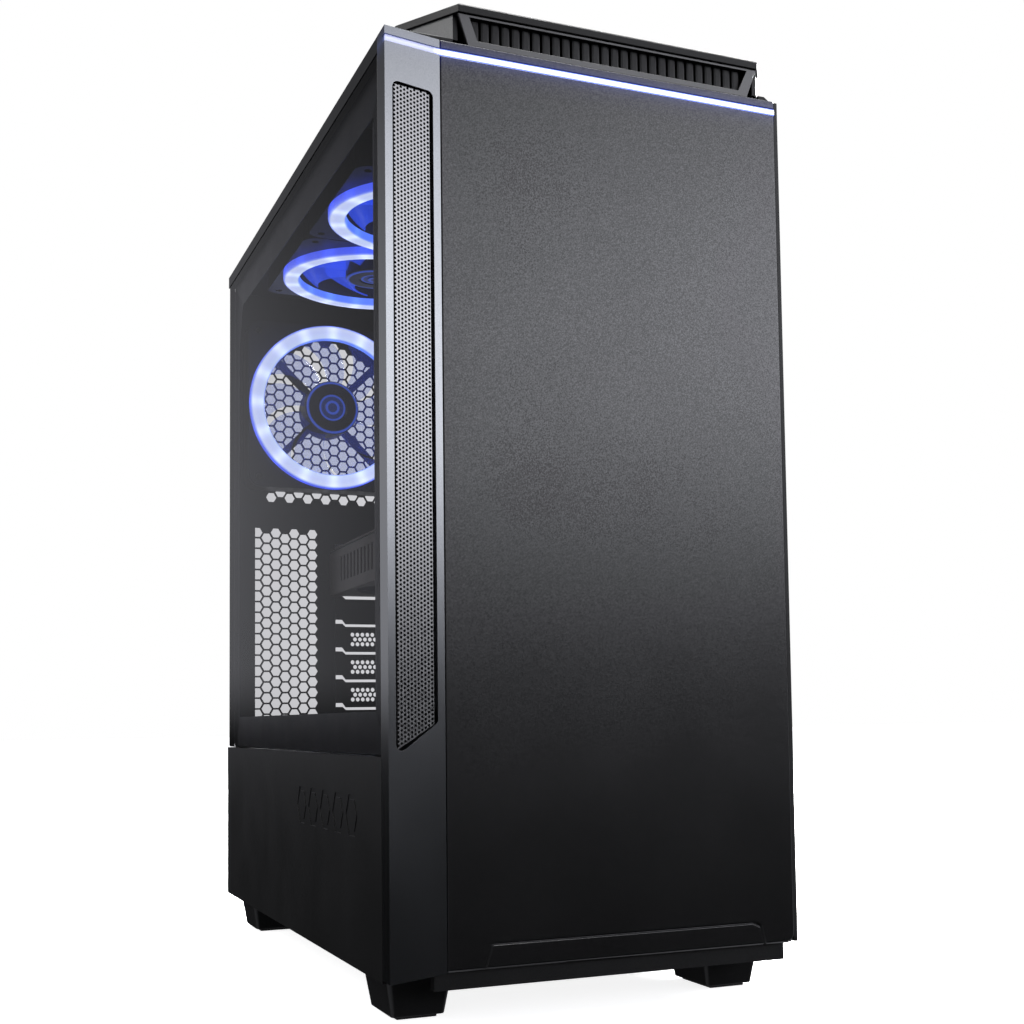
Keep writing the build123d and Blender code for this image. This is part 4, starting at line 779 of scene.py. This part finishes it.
def fan_wheels():
    """Every rotor: hub and tip radius, number of blades, and how far the hub stands past the blades."""
    fan_wheel("rear_fan_rotor", FRONT, 19.5 * MM, 54 * MM, 9, 3.5 * MM)
    for node in ("roof_fan_front_rotor", "roof_fan_rear_rotor"):
        fan_wheel(node, DOWN, 19.5 * MM, 54 * MM, 9, 3.5 * MM, GLOW_PAINTED_BLADE.material)
    fan_wheel("processor_fan_rotor", LEFT, 15.5 * MM, 42.4 * MM, 7, 0.0)
    for node in ("graphics_fan_front", "graphics_fan_rear"):
        fan_wheel(node, DOWN, 14 * MM, 41.8 * MM, 9, 1.6 * MM)
    fan_wheel("power_supply_rotor", DOWN, 20 * MM, 56.2 * MM, 7, 0.0)


def light_ring_piece(name, node, centre, facing, depth):
    """A rounded diffuser ring whose back is at centre."""
    bm = bmesh.new()
    edge = 1.0 * MM
    cut = 0.3 * edge
    profile = [(RING_IN, 0), (RING_OUT, 0), (RING_OUT, depth - edge), (RING_OUT - cut, depth - cut),
               (RING_OUT - edge, depth), (RING_IN + edge, depth), (RING_IN + cut, depth - cut),
               (RING_IN, depth - edge)]
    closed_ring(bm, profile)
    bmesh.ops.recalc_face_normals(bm, faces=bm.faces)
    ring = piece_from(bm, name, BODY_OF[node], "light_ring")
    ring.matrix_world = towards(centre, facing)
    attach(ring, BODY_OF[node])
    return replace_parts(ring, node)


def light_rings():
    """The rear fan's ring and the two roof fans' rings."""
    middle = (RING_LOW + RING_HIGH) / 2
    depth = RING_HIGH.y - RING_LOW.y
    back = Vector((middle.x, RING_HIGH.y, middle.z))
    light_ring_piece("rear_light_ring", "rear_fan_light_ring", back, FRONT, depth)
    low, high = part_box("roof_fan_light_rings")
    for name, y in (("roof_light_ring_front", low.y + RING_OUT), ("roof_light_ring_rear", high.y - RING_OUT)):
        back = Vector(((low.x + high.x) / 2, y, high.z))
        light_ring_piece(name, "roof_fan_light_rings", back, DOWN, high.z - low.z)


# ---------------------------------------------------------------- motherboard parts

def board_point(y, z, height=0.0):
    """A point over the board, from its front lower corner, in millimetres."""
    return Vector((BOARD_LOW.x - height * MM, BOARD_LOW.y + y * MM, BOARD_LOW.z + z * MM))


def board_box(bm, y0, y1, z0, z1, height, round_off):
    """Adds a box that stands on the board, in millimetres."""
    cuboid(bm, board_point(y0, z0, height), board_point(y1, z1), round_off * MM)


# A capacitor's radius and height, from the board up, in millimetres.
CAN = [(3.2, 0), (3.2, 1.0), (2.9, 1.3), (3.2, 1.7), (3.2, 8.0), (2.9, 8.5), (2.3, 8.5), (2.2, 8.3), (0, 8.3)]

# Chips: front and rear edge, lower and upper edge, and height, in millimetres from the board's corner.
CHIPS = [(150, 162, 30, 42, 1.4), (176, 186, 20, 30, 1.2), (60, 72, 96, 108, 1.4),
         (206, 216, 80, 90, 1.4), (206, 214, 130, 138, 1.2), (18, 28, 120, 128, 1.4)]


def capacitors():
    """Round cans in rows near the processor and the sound chip."""
    bm = bmesh.new()
    places = [(128, 208 + 9 * k) for k in range(9)] + [(118 + 9 * k, 284) for k in range(9)]
    places += [(196 + 8 * k, 60) for k in range(4)] + [(196 + 8 * k, 50) for k in range(4)]
    places += [(22, 40), (22, 52), (34, 28)]
    for y, z in places:
        place = towards(board_point(y, z), LEFT, Vector((0, 1, 0)))
        turned(bm, [(r * MM, h * MM) for r, h in CAN], place, 20)
    return piece_from(bm, "board_capacitors", "chassis", "drive_metal")


def chokes_and_chips():
    """Square coils, chips and small parts on the board."""
    bm = bmesh.new()
    for k in range(9):
        board_box(bm, 134.5, 141.5, 204 + 9 * k, 211 + 9 * k, 6.0, 0.8)
    for k in range(6):
        board_box(bm, 120 + 11 * k, 127 + 11 * k, 271, 278, 6.0, 0.8)
    for chip in CHIPS:
        board_box(bm, *chip, 0.2)
    for k in range(14):
        y, z = 92 + 7 * (k % 7), 150 + 30 * (k // 7)
        board_box(bm, y, y + 2.4, z, z + 1.4, 0.9, 0.1)
    return piece_from(bm, "board_chips", "chassis", "connector")


def board_covers():
    """The cover over the rear ports, and the cooling plate of a storage card."""
    bm = bmesh.new()
    board_box(bm, 196, 219, 162, 288, 24.0, 2.4)
    for k in range(5):
        board_box(bm, 191.8, 196.2, 176 + 20 * k, 190 + 20 * k, 18.0, 0.8)
    board_box(bm, 90, 172, 118, 140, 4.0, 1.2)
    for k in range(11):
        board_box(bm, 96 + 6.6 * k, 98.6 + 6.6 * k, 120, 138, 5.2, 0.4)
    return piece_from(bm, "board_covers", "chassis", "card_plastic")


MODULE_MIDDLE = 3.2 * MM         # from a memory module's face to its middle
DIFFUSER_HALF = 1.9 * MM
DIFFUSER_SHORT = 6.0 * MM        # how far a diffuser ends from the module's ends


def memory_light_bars():
    """Pale diffusers along the memory modules' upper edges."""
    low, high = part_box("memory_modules")
    bm = bmesh.new()
    for y in (low.y + MODULE_MIDDLE, high.y - MODULE_MIDDLE):
        start = Vector((low.x - 2.4 * MM, y - DIFFUSER_HALF, low.z + DIFFUSER_SHORT))
        end = Vector((low.x + 0.6 * MM, y + DIFFUSER_HALF, high.z - DIFFUSER_SHORT))
        cuboid(bm, start, end, 0.9 * MM)
    return piece_from(bm, "memory_diffusers", "chassis", "light_ring", MATERIALS["strip_plastic"].material)


# ---------------------------------------------------------------- cable

WIRE = 0.8 * MM                  # radius of one wire
WIRE_STEP = 1.4 * MM
BEND_STEPS = 6
ASKEW = Vector((0.31, 0.47, 0.83))    # a direction that the cable never takes


def rounded_route(points, radius):
    """The points, with each corner between them rounded."""
    made = [points[0]]
    for before, corner, after in zip(points, points[1:], points[2:]):
        start = corner + (before - corner).normalized() * radius
        end = corner + (after - corner).normalized() * radius
        for index in range(BEND_STEPS + 1):
            t = index / BEND_STEPS
            made.append(start * (1 - t) ** 2 + corner * 2 * t * (1 - t) + end * t * t)
    return made + [points[-1]]


def board_cable():
    """Nine sleeved wires along the power cable's route."""
    low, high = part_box("board_power_cable")
    half = 4 * MM
    near_x, level, pass_y = BOARD_LOW.x - 6.5 * MM, high.z - half, low.y + half
    behind_x, bottom = high.x - half, low.z + half
    route = [Vector((near_x, BOARD_LOW.y + half, level)), Vector((near_x, pass_y, level)),
             Vector((behind_x, pass_y, level)), Vector((behind_x, pass_y, bottom)),
             Vector((low.x + half, pass_y, bottom)), Vector((low.x + half, high.y, bottom))]
    line = rounded_route(route, 6 * MM)
    bm = bmesh.new()
    for a in (-1, 0, 1):
        for b in (-1, 0, 1):
            aside = Vector((a, b, a + b)) * WIRE_STEP
            tube(bm, [clamp_to(point + aside, low, high, WIRE) for point in line], WIRE)
    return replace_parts(piece_from(bm, "sleeved_cable", "chassis", "cable"), "board_power_cable")


def clamp_to(point, low, high, margin):
    """The point, moved inside the box by margin at least."""
    return Vector([min(max(point[i], low[i] + margin), high[i] - margin) for i in range(3)])


def tube(bm, line, radius, sides=8):
    """A round tube along a line of points."""
    rings = []
    for index, point in enumerate(line):
        before, after = line[max(index - 1, 0)], line[min(index + 1, len(line) - 1)]
        place = towards(point, after - before, ASKEW)
        rings.append([bm.verts.new(corner) for corner in circle(place, radius, 0, sides)])
    for lower, upper in zip(rings, rings[1:]):
        for k in range(sides):
            bm.faces.new((lower[k], lower[(k + 1) % sides], upper[(k + 1) % sides], upper[k]))
    bm.faces.new(rings[0][::-1])
    bm.faces.new(rings[-1])


# ---------------------------------------------------------------- studio

def softbox(name, azimuth, elevation, distance, width, height, power):
    """An area light aimed at the object's middle. Azimuth 0 is in front of it, and 90 on its right."""
    data = bpy.data.lights.new(name, "AREA")
    data.shape = "RECTANGLE"
    data.size = width
    data.size_y = height
    data.energy = power
    lamp = bpy.data.objects.new(name, data)
    bpy.context.scene.collection.objects.link(lamp)
    a, e = radians(azimuth), radians(elevation)
    away = Vector((sin(a) * cos(e), -cos(a) * cos(e), sin(e)))
    lamp.location = MIDDLE + away * distance
    lamp.rotation_mode = "QUATERNION"
    lamp.rotation_quaternion = (-away).to_track_quat("-Z", "Y")
    return lamp


KEY = 4.3                        # brightness of the key light, in front on the right
KEY_AZIMUTH = 44
HAZE = 0.52                      # brightness behind on the left, which the glass reflects
LOW_FILL = 0.55                  # brightness at both sides
WORLD_TINT = (0.97, 0.98, 1.06, 1.0)


class World(Tree):
    """The studio's surroundings, as brightness by direction."""

    def __init__(self):
        made = bpy.data.worlds.new("studio")
        bpy.context.scene.world = made
        super().__init__(made)

    def smooth(self, value, low, high, start, end):
        return self.span(value, low, high, start, end, "SMOOTHSTEP")

    def rise(self, height, low, high, start, end):
        """Brightness by elevation, between two elevations in degrees."""
        return self.smooth(height, sin(radians(low)), sin(radians(high)), start, end)

    def near(self, azimuth, centre, inner, outer, level):
        """level round an azimuth in degrees, fading from inner to outer degrees away from it."""
        aside = self.maths("ABSOLUTE", self.maths("SUBTRACT", azimuth, radians(centre)))
        return self.smooth(aside, radians(inner), radians(outer), level, 0.0)


def surroundings():
    """White to the camera. Reflections see a soft key light, a low haze behind, and fill at the sides."""
    world = World()
    split = world.add("ShaderNodeSeparateXYZ")
    world.link(world.add("ShaderNodeTexCoord").outputs["Generated"], split.inputs[0])
    x, y, z = split.outputs
    azimuth = world.maths("ARCTAN2", x, world.maths("MULTIPLY", y, -1.0))
    key = world.maths("MULTIPLY", world.near(azimuth, KEY_AZIMUTH, 5, 62, KEY),
                      world.rise(z, 2.5, 13, 0.0, 1.0))
    key = world.maths("MULTIPLY", key, world.rise(z, 15, 34, 1.0, 0.10))
    haze = world.maths("MULTIPLY", world.smooth(y, 0.1, 0.7, 0.0, HAZE), world.rise(z, -1, 2.5, 0.0, 1.0))
    haze = world.maths("MULTIPLY", haze, world.rise(z, 7, 30, 1.0, 0.04))
    base = world.smooth(z, -0.05, 0.3, 0.008, 0.06)
    both = world.maths("ADD", world.near(azimuth, -75, 45, 60, 1.0), world.near(azimuth, 122, 45, 58, 1.0))
    sides = world.maths("MULTIPLY", both, world.smooth(z, -0.7, 0.5, LOW_FILL, LOW_FILL * 0.6))
    level = world.maths("ADD", world.maths("ADD", key, haze), world.maths("ADD", base, sides))
    background = world.tree.nodes["Background"]
    background.inputs["Color"].default_value = WORLD_TINT
    world.link(level, background.inputs["Strength"])
    white = world.add("ShaderNodeBackground")
    white.inputs["Color"].default_value = WHITE
    mix = world.add("ShaderNodeMixShader")
    world.link(world.add("ShaderNodeLightPath").outputs["Is Camera Ray"], mix.inputs[0])
    world.link(background.outputs[0], mix.inputs[1])
    world.link(white.outputs[0], mix.inputs[2])
    world.link(mix.outputs[0], world.tree.nodes["World Output"].inputs["Surface"])


def studio():
    """Four soft lights and the surroundings. The light on the right shows in no reflection."""
    softbox("top", 30, 82, 2.4, 1.8, 1.8, 150)
    softbox("left", -92, 32, 2.6, 1.6, 1.0, 20)
    softbox("right", 96, 30, 2.6, 1.6, 1.2, 260).visible_glossy = False
    softbox("back", 136, 30, 2.6, 1.6, 1.2, 300)
    surroundings()


FLOOR_SIZE = 30.0


def floor():
    """A plain pale floor that the object's gloss doesn't mirror."""
    bpy.ops.mesh.primitive_plane_add(size=FLOOR_SIZE, location=(0, 0, 0))
    plane = bpy.context.active_object
    plane.name = "floor"
    made = Nodes("floor")
    cloud = made.noise(0.4)
    made.colour(made.ramp(cloud, [(0.3, grey(0.80)), (0.7, grey(0.82))]))
    made.set(Roughness=0.9, Specular_IOR_Level=0.1, Emission_Color=WHITE, Emission_Strength=0.86)
    plane.data.materials.append(made.material)
    plane.visible_glossy = False
    plane.visible_diffuse = False


EYE = (-0.285975, -0.824929, 0.139659)
YAW, PITCH, ROLL = 23.674, 3.916, -0.8716   # degrees: towards +X, up, and round the view
LENS = 50.042
SHIFT_X, SHIFT_Y = -0.0636, 0.1072


def camera():
    """In front of the object, on its left and low."""
    data = bpy.data.cameras.new("camera")
    data.lens = LENS
    data.sensor_width = 36.0
    data.shift_x = SHIFT_X
    data.shift_y = SHIFT_Y
    data.clip_start = 0.02
    data.clip_end = 60.0
    eye = bpy.data.objects.new("camera", data)
    bpy.context.scene.collection.objects.link(eye)
    yaw, pitch, roll = radians(YAW), radians(PITCH), radians(ROLL)
    ahead = Vector((sin(yaw) * cos(pitch), cos(yaw) * cos(pitch), sin(pitch)))
    level = Vector((cos(yaw), -sin(yaw), 0))
    over = level.cross(ahead)
    right = level * cos(roll) + over * sin(roll)
    up = over * cos(roll) - level * sin(roll)
    turn = Matrix((right, up, -ahead)).transposed().to_4x4()
    eye.matrix_world = Matrix.Translation(EYE) @ turn
    bpy.context.scene.camera = eye


# ---------------------------------------------------------------- build

bpy.context.scene.view_settings.view_transform = "Standard"
camera()
studio()
floor()
plain_nodes()
rounded_nodes()
intake_mesh()
light_rings()
fan_wheels()
capacitors()
chokes_and_chips()
board_covers()
memory_light_bars()
board_cable()
vent_louvres()
